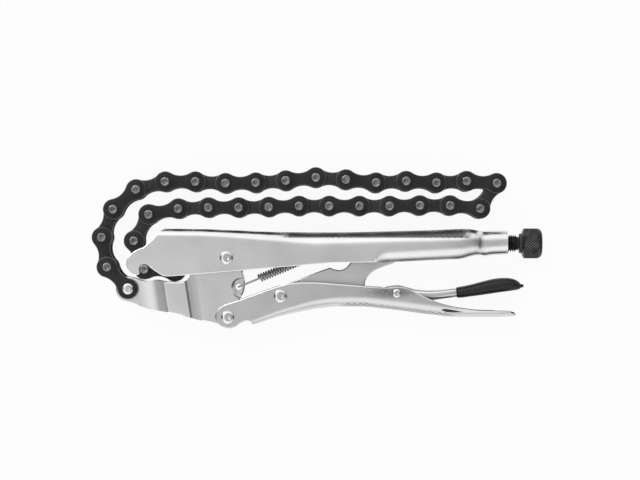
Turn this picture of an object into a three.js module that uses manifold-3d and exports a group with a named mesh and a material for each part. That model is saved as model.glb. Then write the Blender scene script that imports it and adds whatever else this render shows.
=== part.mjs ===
// A locking chain clamp, lying flat with its pivots upright: X runs to the adjusting knob, Y to the chain, Z up.
// The origin is on the axis of the jaw pivot, at the height of the surface that the tool lies on.
import * as THREE from "three";
import { mergeVertices } from "three/addons/utils/BufferGeometryUtils.js";
import Module from "manifold-3d";

const wasm = await Module();
wasm.setup();

// Driving dimensions, in millimetres.
const bodyLength = 148.2; // from the jaw pivot to the tail of the fixed handle
const bodyDepth = 52.2; // from the back of the fixed handle to the belly of the lever
const clearance = 0.3; // between pieces that touch or run on each other
const cutOverrun = 5; // how far a cutter passes a face

const chainPitch = 15.875;
const plateHeight = 10.9;
const plateWaist = 6.5;
const plateThickness = 2;
const pinDiameter = 4.56;
const bushDiameter = 7.6;
const bushLength = 9.5; // the free width between the inner plates
const pinStandout = 1.25; // how far a chain pin stands out of the handle's wall

const handleSheet = 1.8;
const handleBackRadius = 5; // at the jaw
const handleLipRadius = 4.4;
const handleTubeRadius = 6.6; // along the grip, and all round where the handle has curled in round the screw
const handleWallEdgeRadius = 0.5;
const lipSlotWidth = 9;
const tailWidth = 14.4;
const tailRadius = 5.2;
const tabWidth = 6;
const tabSheet = 1.6;
const tabBelowSpring = 3;
const tabRise = 12; // from the spring's axis up past the handle's back
const tabHoleRadius = 0.95;

const bracketSheet = 2;
const earFloor = 2;
const earDishDiameter = 12.6;
const earHoleDiameter = 3.2;

const leverBackRadius = 2.8;
const leverWallEdgeRadius = 0.5;

const toggleThickness = 5.4;
const toggleBossDiameter = 9.4;
const toggleClearance = 1.2; // kept between the toggle's round end and the screw's tip

const releaseWidth = 8;
const releaseBossWall = 1.6;
const gripWidth = 11;
const gripCoreWidth = 7;

const pivotShankDiameter = 5.2;
const pivotHeadDiameter = 6.9;
const chainEndShankDiameter = 4.2;
const chainEndHeadDiameter = 5.9;
const releaseShankDiameter = 3.2;
const releaseHeadDiameter = 4.8;
const rivetRimShare = 0.4; // the straight rim of a rivet's head, of the head's height
const rivetFlatShare = 0.5; // the flat on a rivet's dome, of the head's radius

const threadDiameter = 9;
const screwNeckDiameter = 7.6;
const screwStubDiameter = 5;
const screwStubLength = 7;
const threadChamfer = 0.8;
const knobDiameter = 16;
const knobLength = 10.4;
const knobRound = 1.6;
const knobCollarDiameter = 10.4;
const knobCollarLength = 1.8;

const wireDiameter = 1.1;
const coilDiameter = 4.4;
const coilPitch = 1.62;
const coilFarLegLength = 3.67; // from the last turn to the tab's middle
const springHookDepth = 1.9;
const springHookReach = 2.4; // how far the far hook passes the tab's middle
const springHookRadius = 1.1;

// Counts.
const pivotSides = 16;
const pinSides = 8;
const lobeSteps = 6;
const waistSteps = 2;
const cornerSteps = 3;
const domeSteps = 2;
const knobSides = 24;
const knobRoundSteps = 3;
const coilTurns = 20;
const coilSteps = 8;
const wireSides = 5;
const bendSteps = 3;

// Layers, as distances from the middle plane of the tool.
const bushHalf = bushLength / 2;
const innerPlateFace = bushHalf + plateThickness;
const outerPlateBack = innerPlateFace + clearance;
const outerPlateFace = outerPlateBack + plateThickness;
const wallBack = outerPlateFace + clearance;
const wallFace = wallBack + handleSheet;
const endPlateFace = wallBack + plateThickness;
const restHalf = wallFace + pinStandout;

// Where things lie in plan, read from the photograph in its own pixels.
const jawPivotPixels = [226.7, 257.7];
const bodyLengthPixels = 281.3;
const bodyDepthPixels = 99;
const leverPivotPixels = [228, 317];
const togglePivotPixels = [280.5, 295.8];
const releasePivotPixels = [396.5, 293];
const chainEndPixels = [128.5, 288.6];
const hookPixels = [144.7, 269.1];
const hookMouthPixels = [156, 280.6];
const earHolePixels = [238.4, 287];
const springFarPixels = [322, 252.4];
const screwAxisPixels = 243.4;
const screwTipPixels = 400;
const tailEndPixels = 508;
const threadEndPixels = 517.2;
const knobFacePixels = 523;
const tailBlockPixels = 484; // where the hollow of the fixed handle ends and only the screw's bore runs on
const boreStartPixels = 452;
const backStartPixels = 164;
const lipSlotPixels = [370, 484];
const noseOverrunPixels = 100; // in front of every piece
const openEdgePixels = 345; // below every piece
const skyPixels = 212; // above the handle's back

// The fixed handle's outline from its top front corner, round the nose and back along its open edge.
const handleOutlinePixels = [
  [164, 228.2],
  [156.8, 235],
  [148, 243.8],
  [143.4, 247.6],
  [138, 249.7],
  [133.2, 252.6],
  [129.2, 256.4],
  [127.3, 261.4],
  [127.3, 266.3],
  [129.6, 270.2],
  [133, 273.6],
  [136.5, 275.1],
  [139.6, 274.6],
  [163.3, 275.9],
  [168, 276.4],
  [200, 273.9],
  [241, 270.5],
  [300, 265.6],
  [330, 262.7],
  [352, 262.4],
  [395, 261.9],
  [440, 264],
  [530, 264],
  [530, 215],
  [164, 215],
];

// Sections along the fixed handle: place, back, open edge, half width, and the radii at the back and at the lips.
const wallHalf = wallFace;
const tailHalf = tailWidth / 2;
const handleSections = [
  [118, 228.4, 310, wallHalf, handleBackRadius, handleWallEdgeRadius],
  [200, 229, 310, wallHalf, handleBackRadius, handleWallEdgeRadius],
  [240, 230.6, 310, wallHalf, handleBackRadius, handleWallEdgeRadius],
  [280, 231.9, 310, wallHalf, handleTubeRadius, handleWallEdgeRadius],
  [320, 232.4, 310, wallHalf, handleTubeRadius, handleWallEdgeRadius],
  [372, 231.7, 290, wallHalf, handleTubeRadius, handleLipRadius],
  [400, 231, 262, wallHalf, handleTubeRadius, handleTubeRadius],
  [430, 230.2, 260.4, wallHalf, handleTubeRadius, handleTubeRadius],
  [458, 229, 259.2, wallHalf, handleTubeRadius, handleTubeRadius],
  [470, 228.5, 257.2, wallHalf, handleTubeRadius, handleTubeRadius],
  [484, 230.2, 256.8, tailHalf, tailRadius, tailRadius],
  [508, 230.2, 255.8, tailHalf, tailRadius, tailRadius],
];

// The jaw bracket's outline from the top of its tongue, clockwise.
const bracketOutlinePixels = [
  [133, 277.6],
  [145, 281.2],
  [156, 280],
  [166, 281.6],
  [184, 281.4],
  [190, 276],
  [193, 262],
  [201, 252],
  [213, 246.4],
  [226.7, 244.6],
  [238, 248],
  [243, 256],
  [242, 264],
  [244.2, 278],
  [244.6, 287],
  [241.6, 295.6],
  [239.4, 300],
  [239.6, 310],
  [238, 321],
  [232.5, 325.6],
  [225, 325.6],
  [210, 322],
  [198, 319.6],
  [186, 316],
  [168, 312],
  [150, 308.9],
  [132, 303],
  [124, 300.4],
  [118.6, 296],
  [116.4, 289],
  [118.4, 281.6],
  [124.6, 277],
];
const bracketWebPixels = [
  [118, 300.4],
  [132, 303],
  [150, 308.9],
  [168, 312],
  [186, 316],
  [198, 319.6],
  [210, 322],
  [222, 325],
];
// How the bracket's two plates step out to the land beside the hook and back in: place and half width.
const bracketSteps = [
  [100, outerPlateFace],
  [141, outerPlateFace],
  [149, (2 * outerPlateFace + wallFace) / 3],
  [157, (outerPlateFace + 2 * wallFace) / 3],
  [165, wallFace],
  [186.4, wallFace],
  [190.4, outerPlateFace],
  [270, outerPlateFace],
];

// The lever's outline from its ear, clockwise along the open edge to the tail and back along its belly.
const leverOutlinePixels = [
  [215.9, 314],
  [218.4, 308.8],
  [222.8, 305.4],
  [230.6, 302.6],
  [239.8, 299.6],
  [256.6, 293.5],
  [276.5, 286.6],
  [291.8, 283],
  [316.6, 282.4],
  [349.7, 284.9],
  [382.9, 287.4],
  [391, 287.6],
  [397, 286],
  [406.8, 287.5],
  [420, 294.4],
  [430, 299.4],
  [440.7, 303.5],
  [453.2, 306.8],
  [466.4, 309],
  [478, 310.3],
  [510.4, 311.5],
  [514.6, 312.6],
  [516, 314.6],
  [514.6, 316.6],
  [510, 330],
  [253.6, 330],
  [253.6, 324],
  [250.5, 322.5],
  [245.9, 320.4],
  [241.3, 322],
  [236.7, 325.8],
  [231, 328],
  [225.2, 327.4],
  [218.8, 323.6],
  [215.9, 318.6],
];
const leverBackStartPixels = 252;
// Sections along the lever: place, open side, belly, and half width.
const leverSections = [
  [205, 262, 340],
  [247, 262, 326.2],
  [256, 262, 323.6],
  [278.8, 262, 316.4],
  [300, 262, 311.6],
  [320, 262, 308],
  [340, 262, 306.4],
  [360, 262, 306.4],
  [380, 262, 308],
  [405, 262, 311],
  [430, 262, 314.4],
  [460, 262, 316.9],
  [495, 262, 317],
  [516, 262, 316],
];

const toggleOutlinePixels = [
  [272, 292],
  [276, 287.4],
  [300, 278.6],
  [320, 271],
  [329.9, 267.7],
  [339.8, 270.2],
  [350, 263.5],
  [356, 254],
  [368, 246],
  [384, 238.6],
  [393, 236.6],
  [398.4, 238.2],
  [400, 242],
  [399, 249],
  [397, 256],
  [395.4, 262.3],
  [374.6, 270.6],
  [366.3, 278.9],
  [364.7, 284.7],
  [358, 290],
  [344, 294],
  [324, 297],
  [300, 301],
  [288, 304.4],
  [279, 305],
  [272.6, 301],
  [270.6, 296],
];

const releaseOutlinePixels = [
  [375, 291],
  [381, 288],
  [390, 285.6],
  [398, 284.9],
  [406, 286.6],
  [418, 289.6],
  [430, 290.3],
  [441, 289.9],
  [456.6, 288.1],
  [456.6, 297.2],
  [441, 299.1],
  [430, 300.6],
  [414, 300.8],
  [396, 300],
  [384, 297.6],
  [376.6, 294.6],
];
// The thin tongue of the release lever inside its grip.
const gripCorePixels = [
  [452, 294.6],
  [470, 293.4],
  [488, 290.6],
  [504, 288],
  [509, 285.2],
  [505, 282.4],
  [494, 283],
  [470, 288.6],
  [452, 291.2],
];
const gripOutlinePixels = [
  [456.9, 287.4],
  [469.8, 285.1],
  [482, 282],
  [494.6, 278.9],
  [507, 277.8],
  [513.7, 278.4],
  [519.5, 281.3],
  [524.4, 284.6],
  [524.4, 286.4],
  [520.6, 289.9],
  [502.9, 292.1],
  [486.3, 294.6],
  [469.8, 296.7],
  [456.9, 297.9],
];

// Headings of the chain's links in degrees: from the end rivet to the fold, then from the hook to the fold.
const upperHeadings = [134, 100, 68, 41, 15, 0, -3, 1, 4, 6, -4, -6, 3, -3, 3, -4];
const lowerHeadings = [110, 61, 11, 2, 0, 1, 2, 0, 0, 0, 1, 0];
const tailHeading = -4;

// Plan places in millimetres.
const alongScale = bodyLength / bodyLengthPixels;
const acrossScale = bodyDepth / bodyDepthPixels;

function planX(x) {
  return (x - jawPivotPixels[0]) * alongScale;
}

function planY(y) {
  return (jawPivotPixels[1] - y) * acrossScale;
}

function plan([x, y]) {
  return new THREE.Vector2(planX(x), planY(y));
}

// Materials, one per finish.
const nickel = { color: 0xb9bbbd, roughness: 0.32, metalness: 1 };
const brightSteel = { color: 0xd2d3d4, roughness: 0.22, metalness: 1 };
const blackSteel = { color: 0x2f3032, roughness: 0.5, metalness: 0.8 };
const blackKnurl = { color: 0x1b1c1e, roughness: 0.45, metalness: 0.7 };
const blackVinyl = { color: 0x1d1d1f, roughness: 0.6, metalness: 0 };
const springSteel = { color: 0x6f7174, roughness: 0.35, metalness: 1 };

// Turns a closed geometry into a solid that can be cut and joined.
function solid(geometry) {
  const bare = geometry.index ? geometry.toNonIndexed() : geometry.clone();
  bare.deleteAttribute("normal");
  bare.deleteAttribute("uv");
  const merged = mergeVertices(bare);
  return new wasm.Manifold(
    new wasm.Mesh({
      numProp: 3,
      vertProperties: merged.attributes.position.array,
      triVerts: new Uint32Array(merged.index.array),
    }),
  );
}

// Turns a solid back into a geometry.
function geometryOf(shape) {
  const mesh = shape.getMesh();
  const geometry = new THREE.BufferGeometry();
  geometry.setAttribute("position", new THREE.BufferAttribute(mesh.vertProperties, mesh.numProp));
  geometry.setIndex(new THREE.BufferAttribute(mesh.triVerts, 1));
  const faceted = geometry.toNonIndexed();
  faceted.computeVertexNormals();
  return faceted;
}

// A slab of a plan outline, from one height to another.
function slab(points, low, high) {
  const geometry = new THREE.ExtrudeGeometry(new THREE.Shape(points), {
    depth: high - low,
    bevelEnabled: false,
  });
  return solid(geometry.translate(0, 0, low));
}

// An upright round bar from one height to another, as tight outside the true circle as asked.
function bar(centre, radius, low, high, sides) {
  const geometry = new THREE.CylinderGeometry(radius, radius, high - low, sides);
  geometry.rotateX(Math.PI / 2);
  return solid(geometry.translate(centre.x, centre.y, (low + high) / 2));
}

// A hole's cutter: its flats, not its corners, lie at the radius.
function holeCutter(centre, radius, half, sides) {
  const reach = radius / Math.cos(Math.PI / sides);
  return bar(centre, reach, -half, half, sides);
}

// An upright slab with parallel sides and round ends, between two places.
function capsule(from, to, radius, half) {
  const direction = to.clone().sub(from).normalize();
  const side = new THREE.Vector2(-direction.y, direction.x).multiplyScalar(radius);
  const corners = [from.clone().add(side), to.clone().add(side), to.clone().sub(side), from.clone().sub(side)];
  const run = slab(corners, -half, half);
  return run.add(bar(from, radius, -half, half, pivotSides)).add(bar(to, radius, -half, half, pivotSides));
}

// Joins rings of equally many points, counted anticlockwise as seen from ahead, into one closed geometry.
function loft(rings) {
  const size = rings[0].length;
  const places = rings.flat().flatMap((point) => [point.x, point.y, point.z]);
  const faces = [];
  for (let ring = 0; ring + 1 < rings.length; ring += 1) {
    for (let side = 0; side < size; side += 1) {
      const here = ring * size + side;
      const next = ring * size + ((side + 1) % size);
      faces.push(here, next, here + size);
      faces.push(next, next + size, here + size);
    }
  }
  const last = (rings.length - 1) * size;
  for (let side = 1; side + 1 < size; side += 1) {
    faces.push(0, side + 1, side);
    faces.push(last, last + side, last + side + 1);
  }
  const geometry = new THREE.BufferGeometry();
  geometry.setAttribute("position", new THREE.Float32BufferAttribute(places, 3));
  geometry.setIndex(faces);
  return geometry;
}

// A rectangle with round corners, square to X, between its low and high edges in Y.
function roundedSection({ x, low, high, half, lowRadius, highRadius }) {
  const corners = [
    [high - highRadius, half - highRadius, highRadius],
    [high - highRadius, highRadius - half, highRadius],
    [low + lowRadius, lowRadius - half, lowRadius],
    [low + lowRadius, half - lowRadius, lowRadius],
  ];
  const ring = corners.flatMap(([y, z, radius], quarter) =>
    Array.from({ length: cornerSteps + 1 }, (_, step) => {
      const angle = ((quarter + step / cornerSteps) * Math.PI) / 2;
      return new THREE.Vector3(x, y + radius * Math.sin(angle), z + radius * Math.cos(angle));
    }),
  );
  return ring.reverse();
}

// A box between two corners.
function block(low, high) {
  const size = high.clone().sub(low);
  const middle = low.clone().add(high).divideScalar(2);
  const geometry = new THREE.BoxGeometry(size.x, size.y, size.z);
  return solid(geometry.translate(middle.x, middle.y, middle.z));
}

// A slab through the whole tool in Y, from its outline in X and Z.
function profileSlab(points) {
  const reach = 2 * bodyDepth;
  const geometry = new THREE.ExtrudeGeometry(new THREE.Shape(points), {
    depth: 2 * reach,
    bevelEnabled: false,
  });
  geometry.rotateX(Math.PI / 2);
  return solid(geometry.translate(0, reach, 0));
}

// A piece turned about an axis along X, from its radii and places, front to back.
function turned(profile, y, sides) {
  const points = profile.map(([radius, x]) => new THREE.Vector2(radius, x));
  const geometry = new THREE.LatheGeometry(points, sides);
  geometry.rotateZ(-Math.PI / 2);
  return solid(geometry.translate(0, y, 0));
}

// Moves each side of a closed anticlockwise outline outwards by a distance.
function grow(points, distance) {
  return points.map((point, index) => {
    const before = points[(index + points.length - 1) % points.length];
    const after = points[(index + 1) % points.length];
    const arriving = point.clone().sub(before).normalize();
    const leaving = after.clone().sub(point).normalize();
    const outward = new THREE.Vector2(arriving.y + leaving.y, -arriving.x - leaving.x).normalize();
    const reach = distance / outward.dot(new THREE.Vector2(arriving.y, -arriving.x));
    return point.clone().add(outward.multiplyScalar(reach));
  });
}

// A rivet through the whole stack, with a low flat-topped dome at each end.
function rivet(centre, shankDiameter, headDiameter, seatHalf) {
  const headRadius = headDiameter / 2;
  const flatRadius = rivetFlatShare * headRadius;
  const rimHalf = seatHalf + rivetRimShare * (restHalf - seatHalf);
  const dome = Array.from({ length: domeSteps + 1 }, (_, step) => {
    const angle = ((step / domeSteps) * Math.PI) / 2;
    const radius = flatRadius + (headRadius - flatRadius) * Math.cos(angle);
    return [radius, rimHalf + (restHalf - rimHalf) * Math.sin(angle)];
  });
  const upper = [[shankDiameter / 2, seatHalf], [headRadius, seatHalf], ...dome, [0, restHalf]];
  const lower = upper.map(([radius, z]) => [radius, -z]).reverse();
  const points = [...lower, ...upper].map(([radius, z]) => new THREE.Vector2(radius, z));
  const geometry = new THREE.LatheGeometry(points, pivotSides);
  geometry.rotateX(Math.PI / 2);
  return solid(geometry.translate(centre.x, centre.y, 0));
}

function pivotHole(centre, shankDiameter) {
  return holeCutter(centre, shankDiameter / 2 + clearance, restHalf + cutOverrun, pivotSides);
}

// The places of the pivots in plan.
const jawPivot = plan(jawPivotPixels);
const leverPivot = plan(leverPivotPixels);
const togglePivot = plan(togglePivotPixels);
const releasePivot = plan(releasePivotPixels);
const chainEnd = plan(chainEndPixels);
const hook = plan(hookPixels);
const earHole = plan(earHolePixels);
const springFar = plan(springFarPixels);
const springLength = springFar.distanceTo(earHole);
const springAxis = springFar.clone().sub(earHole).normalize();
const springRadius = (coilDiameter - wireDiameter) / 2;
const screwAxis = planY(screwAxisPixels);
const knobFace = planX(knobFacePixels);

// The fixed handle: a folded channel, open below, that curls in to a tube round the screw.
function handleSection([x, back, edge, half, highRadius, lowRadius], inset) {
  return {
    x: planX(x),
    low: planY(edge) + inset,
    high: planY(back) - inset,
    half: half - inset,
    lowRadius: Math.max(lowRadius - inset, handleWallEdgeRadius),
    highRadius: Math.max(highRadius - inset, handleWallEdgeRadius),
  };
}

function handleShell(inset, endPixels) {
  const sections = handleSections.filter(([x]) => x <= endPixels);
  return solid(loft(sections.map((section) => roundedSection(handleSection(section, inset)))));
}

// A tab folded down from the handle's back, with the hole that holds the spring's far end.
function springTab() {
  const angle = springAxis.angle();
  const geometry = new THREE.BoxGeometry(tabSheet, tabRise + tabBelowSpring, tabWidth);
  geometry.translate(0, (tabRise - tabBelowSpring) / 2, 0);
  const hole = new THREE.CylinderGeometry(tabHoleRadius, tabHoleRadius, tabSheet + cutOverrun, pinSides);
  hole.rotateZ(Math.PI / 2);
  hole.translate(0, 0, springRadius);
  const tab = solid(geometry.rotateZ(angle).translate(springFar.x, springFar.y, 0));
  return tab.subtract(solid(hole.rotateZ(angle).translate(springFar.x, springFar.y, 0)));
}

function fixedHandle() {
  const far = restHalf + cutOverrun;
  const low = planY(openEdgePixels);
  const high = planY(skyPixels);
  const frontGap = block(
    new THREE.Vector3(planX(noseOverrunPixels), low, -wallBack),
    new THREE.Vector3(planX(backStartPixels), high, wallBack),
  );
  const lipSlot = block(
    new THREE.Vector3(planX(lipSlotPixels[0]), low, -lipSlotWidth / 2),
    new THREE.Vector3(planX(lipSlotPixels[1]), screwAxis, lipSlotWidth / 2),
  );
  const bore = turned(
    [
      [0, planX(boreStartPixels)],
      [threadDiameter / 2 + clearance, planX(boreStartPixels)],
      [threadDiameter / 2 + clearance, planX(tailEndPixels) + cutOverrun],
      [0, planX(tailEndPixels) + cutOverrun],
    ],
    screwAxis,
    pivotSides,
  );
  return handleShell(0, tailEndPixels)
    .intersect(slab(handleOutlinePixels.map(plan), -far, far))
    .subtract(handleShell(handleSheet, tailBlockPixels))
    .add(springTab().intersect(handleShell(handleSheet / 2, tailBlockPixels)))
    .subtract(frontGap)
    .subtract(lipSlot)
    .subtract(bore)
    .subtract(capsule(hook, plan(hookMouthPixels), pinDiameter / 2 + clearance, far))
    .subtract(pivotHole(jawPivot, pivotShankDiameter));
}

// The jaw bracket: two plates joined along their lower edge, with a dished floor between them for the spring.
function bracketProfile(inset) {
  const upper = bracketSteps.map(([x, half]) => new THREE.Vector2(planX(x), half - inset));
  const lower = upper.map((point) => new THREE.Vector2(point.x, -point.y)).reverse();
  return profileSlab([...upper, ...lower]);
}

function jawBracket() {
  const far = restHalf + cutOverrun;
  const web = bracketWebPixels.map(plan).map((point) => point.add(new THREE.Vector2(0, bracketSheet)));
  const [first, last] = [web[0], web[web.length - 1]];
  const high = planY(skyPixels);
  const low = planY(openEdgePixels);
  const hollow = [
    new THREE.Vector2(planX(noseOverrunPixels), high),
    new THREE.Vector2(planX(noseOverrunPixels), first.y),
    ...web,
    new THREE.Vector2(last.x, low),
    new THREE.Vector2(planX(lipSlotPixels[0]), low),
    new THREE.Vector2(planX(lipSlotPixels[0]), high),
  ];
  const earRadius = earDishDiameter / 2;
  const beyond = earHole.clone().add(new THREE.Vector2(earDishDiameter, 0));
  const dish = capsule(earHole, beyond, earRadius, far);
  const floor = slab(bracketOutlinePixels.map(plan), -earFloor / 2, earFloor / 2);
  const earFill = bar(earHole, earRadius + bracketSheet, -outerPlateFace, outerPlateFace, pivotSides);
  return bracketProfile(0)
    .subtract(bracketProfile(bracketSheet).intersect(slab(hollow, -far, far)))
    .add(earFill)
    .subtract(dish)
    .add(floor.intersect(bar(earHole, earRadius + bracketSheet, -far, far, pivotSides)))
    .intersect(slab(bracketOutlinePixels.map(plan), -far, far))
    .subtract(holeCutter(earHole, earHoleDiameter / 2, far, pinSides))
    .subtract(pivotHole(jawPivot, pivotShankDiameter))
    .subtract(pivotHole(leverPivot, pivotShankDiameter))
    .subtract(pivotHole(chainEnd, chainEndShankDiameter));
}

// The lever: a folded channel, open above, whose two walls run on as ears to its pivot.
function leverSection([x, open, belly], inset) {
  return {
    x: planX(x),
    low: planY(belly) + inset,
    high: planY(open),
    half: wallHalf - inset,
    lowRadius: leverBackRadius - inset,
    highRadius: leverWallEdgeRadius,
  };
}

function leverHandle() {
  const far = restHalf + cutOverrun;
  const shell = (inset, sections) =>
    solid(loft(sections.map((section) => roundedSection(leverSection(section, inset)))));
  const earGap = block(
    new THREE.Vector3(planX(noseOverrunPixels), planY(openEdgePixels), -wallBack),
    new THREE.Vector3(planX(leverBackStartPixels), planY(skyPixels), wallBack),
  );
  return shell(0, leverSections)
    .intersect(slab(leverOutlinePixels.map(plan), -far, far))
    .subtract(shell(handleSheet, leverSections.slice(0, -1)))
    .subtract(earGap)
    .subtract(pivotHole(leverPivot, pivotShankDiameter))
    .subtract(pivotHole(togglePivot, pivotShankDiameter))
    .subtract(pivotHole(releasePivot, releaseShankDiameter));
}

function toggleLink() {
  const bossRadius = toggleBossDiameter / 2;
  return slab(toggleOutlinePixels.map(plan), -toggleThickness / 2, toggleThickness / 2)
    .add(bar(togglePivot, bossRadius, -outerPlateFace, outerPlateFace, pivotSides))
    .subtract(pivotHole(togglePivot, pivotShankDiameter));
}

function releaseLever() {
  const bossRadius = releaseShankDiameter / 2 + releaseBossWall;
  return slab(releaseOutlinePixels.map(plan).reverse(), -releaseWidth / 2, releaseWidth / 2)
    .add(slab(gripCorePixels.map(plan), -gripCoreWidth / 2, gripCoreWidth / 2))
    .add(bar(releasePivot, bossRadius, -outerPlateFace, outerPlateFace, pivotSides))
    .subtract(pivotHole(releasePivot, releaseShankDiameter));
}

function releaseGrip() {
  const boreHalf = gripCoreWidth / 2 + clearance;
  return slab(gripOutlinePixels.map(plan), -gripWidth / 2, gripWidth / 2).subtract(
    slab(grow(gripCorePixels.map(plan), clearance), -boreHalf, boreHalf),
  );
}

// The adjusting screw: a threaded bar, a neck, and the stub that the knob is pressed on.
function adjustingScrew() {
  const tip = planX(screwTipPixels) + toggleClearance;
  const shoulder = planX(threadEndPixels);
  const neckEnd = knobFace - knobCollarLength - clearance;
  return turned(
    [
      [0, tip],
      [threadDiameter / 2 - threadChamfer, tip],
      [threadDiameter / 2, tip + threadChamfer],
      [threadDiameter / 2, shoulder],
      [screwNeckDiameter / 2, shoulder],
      [screwNeckDiameter / 2, neckEnd],
      [screwStubDiameter / 2, neckEnd],
      [screwStubDiameter / 2, knobFace + screwStubLength],
      [0, knobFace + screwStubLength],
    ],
    screwAxis,
    pivotSides,
  );
}

function adjustingKnob() {
  const bore = screwStubDiameter / 2 + clearance;
  const radius = knobDiameter / 2;
  const back = knobFace - knobCollarLength;
  const end = knobFace + knobLength;
  const round = Array.from({ length: knobRoundSteps + 1 }, (_, step) => {
    const angle = ((step / knobRoundSteps) * Math.PI) / 2;
    return [radius - knobRound + knobRound * Math.cos(angle), end - knobRound + knobRound * Math.sin(angle)];
  });
  return turned(
    [
      [0, knobFace + screwStubLength + clearance],
      [bore, knobFace + screwStubLength + clearance],
      [bore, back],
      [knobCollarDiameter / 2, back],
      [radius - knobRound, knobFace - knobRound / 2],
      [radius, knobFace + knobRound / 2],
      ...round,
      [0, end],
    ],
    screwAxis,
    knobSides,
  );
}

// The tension spring: hooked through the ear, straight to its first turn, coiled, and hooked through the tab.
function springPath() {
  const across = new THREE.Vector2(-springAxis.y, springAxis.x);
  const at = (along, side, z) => {
    const place = earHole.clone().addScaledVector(springAxis, along).addScaledVector(across, side);
    return new THREE.Vector3(place.x, place.y, z);
  };
  const bend = (centre, start) =>
    Array.from({ length: bendSteps + 1 }, (_, step) => {
      const angle = start - ((step / bendSteps) * Math.PI) / 2;
      const z = springRadius - springHookRadius + springHookRadius * Math.sin(angle);
      return at(centre + springHookRadius * Math.cos(angle), 0, z);
    });
  const hookLow = springRadius - springHookRadius - springHookDepth;
  const coilStart = springLength - coilFarLegLength - coilTurns * coilPitch;
  const coil = Array.from({ length: coilTurns * coilSteps + 1 }, (_, step) => {
    const angle = (step / coilSteps) * 2 * Math.PI;
    const along = coilStart + (step / coilSteps) * coilPitch;
    return at(along, springRadius * Math.sin(angle), springRadius * Math.cos(angle));
  });
  const farBend = springLength + springHookReach;
  const ends = {
    near: [at(0, 0, hookLow), ...bend(springHookRadius, Math.PI)],
    far: [...bend(farBend - springHookRadius, Math.PI / 2), at(farBend, 0, hookLow)],
  };
  return { coil, path: [...ends.near, ...coil, ...ends.far] };
}

// A tube of round wire along points, one ring square to the path at each.
function wireTube(path, radius, sides) {
  let side = new THREE.Vector3(1, 0, 0);
  const rings = path.map((point, index) => {
    const before = path[Math.max(index - 1, 0)];
    const after = path[Math.min(index + 1, path.length - 1)];
    const ahead = after.clone().sub(before).normalize();
    side = side.clone().addScaledVector(ahead, -side.dot(ahead)).normalize();
    const other = ahead.clone().cross(side);
    return Array.from({ length: sides }, (_, corner) => {
      const angle = (corner / sides) * 2 * Math.PI;
      return point
        .clone()
        .addScaledVector(side, radius * Math.cos(angle))
        .addScaledVector(other, radius * Math.sin(angle));
    });
  });
  return loft(rings);
}

// The least gap between one turn of the wire and the next, measured on the coil's points.
function leastCoilGap(coil) {
  let least = Infinity;
  for (let one = 0; one < coil.length; one += 1) {
    for (let other = one + coilSteps / 2; other < coil.length; other += 1) {
      least = Math.min(least, coil[one].distanceTo(coil[other]) - wireDiameter);
    }
  }
  return least;
}

// A chain plate's outline round two pins: round lobes, with a hollow waist tangent to both.
function plateOutline(from, to) {
  const lobe = plateHeight / 2;
  const waist = plateWaist / 2;
  const half = chainPitch / 2;
  const hollow = (half ** 2 + waist ** 2 - lobe ** 2) / (2 * (lobe - waist));
  const meet = Math.atan2(waist + hollow, half);
  const ahead = to.clone().sub(from).angle();
  const middle = from.clone().add(to).divideScalar(2);
  const point = (x, y) => new THREE.Vector2(x, y).rotateAround(new THREE.Vector2(), ahead).add(middle);
  const arc = (x, y, radius, start, end, steps) =>
    Array.from({ length: steps + 1 }, (_, step) => {
      const angle = start + ((end - start) * step) / steps;
      return point(x + radius * Math.cos(angle), y + radius * Math.sin(angle));
    });
  const inner = (points) => points.slice(1, -1);
  return [
    ...arc(half, 0, lobe, meet - Math.PI, Math.PI - meet, lobeSteps),
    ...inner(arc(0, waist + hollow, hollow, -meet, meet - Math.PI, waistSteps)),
    ...arc(-half, 0, lobe, meet, 2 * Math.PI - meet, lobeSteps),
    ...inner(arc(0, -waist - hollow, hollow, Math.PI - meet, meet, waistSteps)),
  ];
}

function platePair(from, to, back, face) {
  const outline = plateOutline(from, to);
  return slab(outline, back, face).add(slab(outline, -face, -back));
}

function chainPinHole(centre) {
  return holeCutter(centre, pinDiameter / 2 + clearance, restHalf + cutOverrun, pinSides);
}

function outerLink(from, to) {
  return platePair(from, to, outerPlateBack, outerPlateFace)
    .add(bar(from, pinDiameter / 2, -restHalf, restHalf, pinSides))
    .add(bar(to, pinDiameter / 2, -restHalf, restHalf, pinSides));
}

function innerLink(from, to) {
  return platePair(from, to, bushHalf, innerPlateFace)
    .add(bar(from, bushDiameter / 2, -innerPlateFace, innerPlateFace, pinSides))
    .add(bar(to, bushDiameter / 2, -innerPlateFace, innerPlateFace, pinSides))
    .subtract(chainPinHole(from))
    .subtract(chainPinHole(to));
}

function endPlate(from, to, back, face) {
  return slab(plateOutline(from, to), back, face)
    .subtract(pivotHole(from, chainEndShankDiameter))
    .subtract(chainPinHole(to));
}

// Walks along the chain from a pin, one pitch per heading.
function walk(start, headings) {
  const pins = [start];
  for (const heading of headings) {
    const angle = THREE.MathUtils.degToRad(heading);
    const step = new THREE.Vector2(Math.cos(angle), Math.sin(angle)).multiplyScalar(chainPitch);
    pins.push(pins[pins.length - 1].clone().add(step));
  }
  return pins;
}

// The pin that closes the fold: one pitch from the last pin of each run, on the side below the upper run.
function foldPin(upperLast, lowerLast) {
  const gap = upperLast.clone().sub(lowerLast);
  const rise = Math.sqrt(chainPitch ** 2 - gap.lengthSq() / 4);
  const below = new THREE.Vector2(gap.y, -gap.x).normalize().multiplyScalar(rise);
  return lowerLast.clone().lerp(upperLast, 0.5).add(below);
}

// The chain's pins in order, from the end rivet round the fold to the hook and the free end.
function chainPins() {
  const upper = walk(chainEnd, upperHeadings);
  const lower = walk(hook, lowerHeadings);
  const tail = walk(hook, [tailHeading]);
  const fold = foldPin(upper[upper.length - 1], lower[lower.length - 1]);
  return [...upper, fold, ...lower.reverse(), tail[1]];
}

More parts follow.
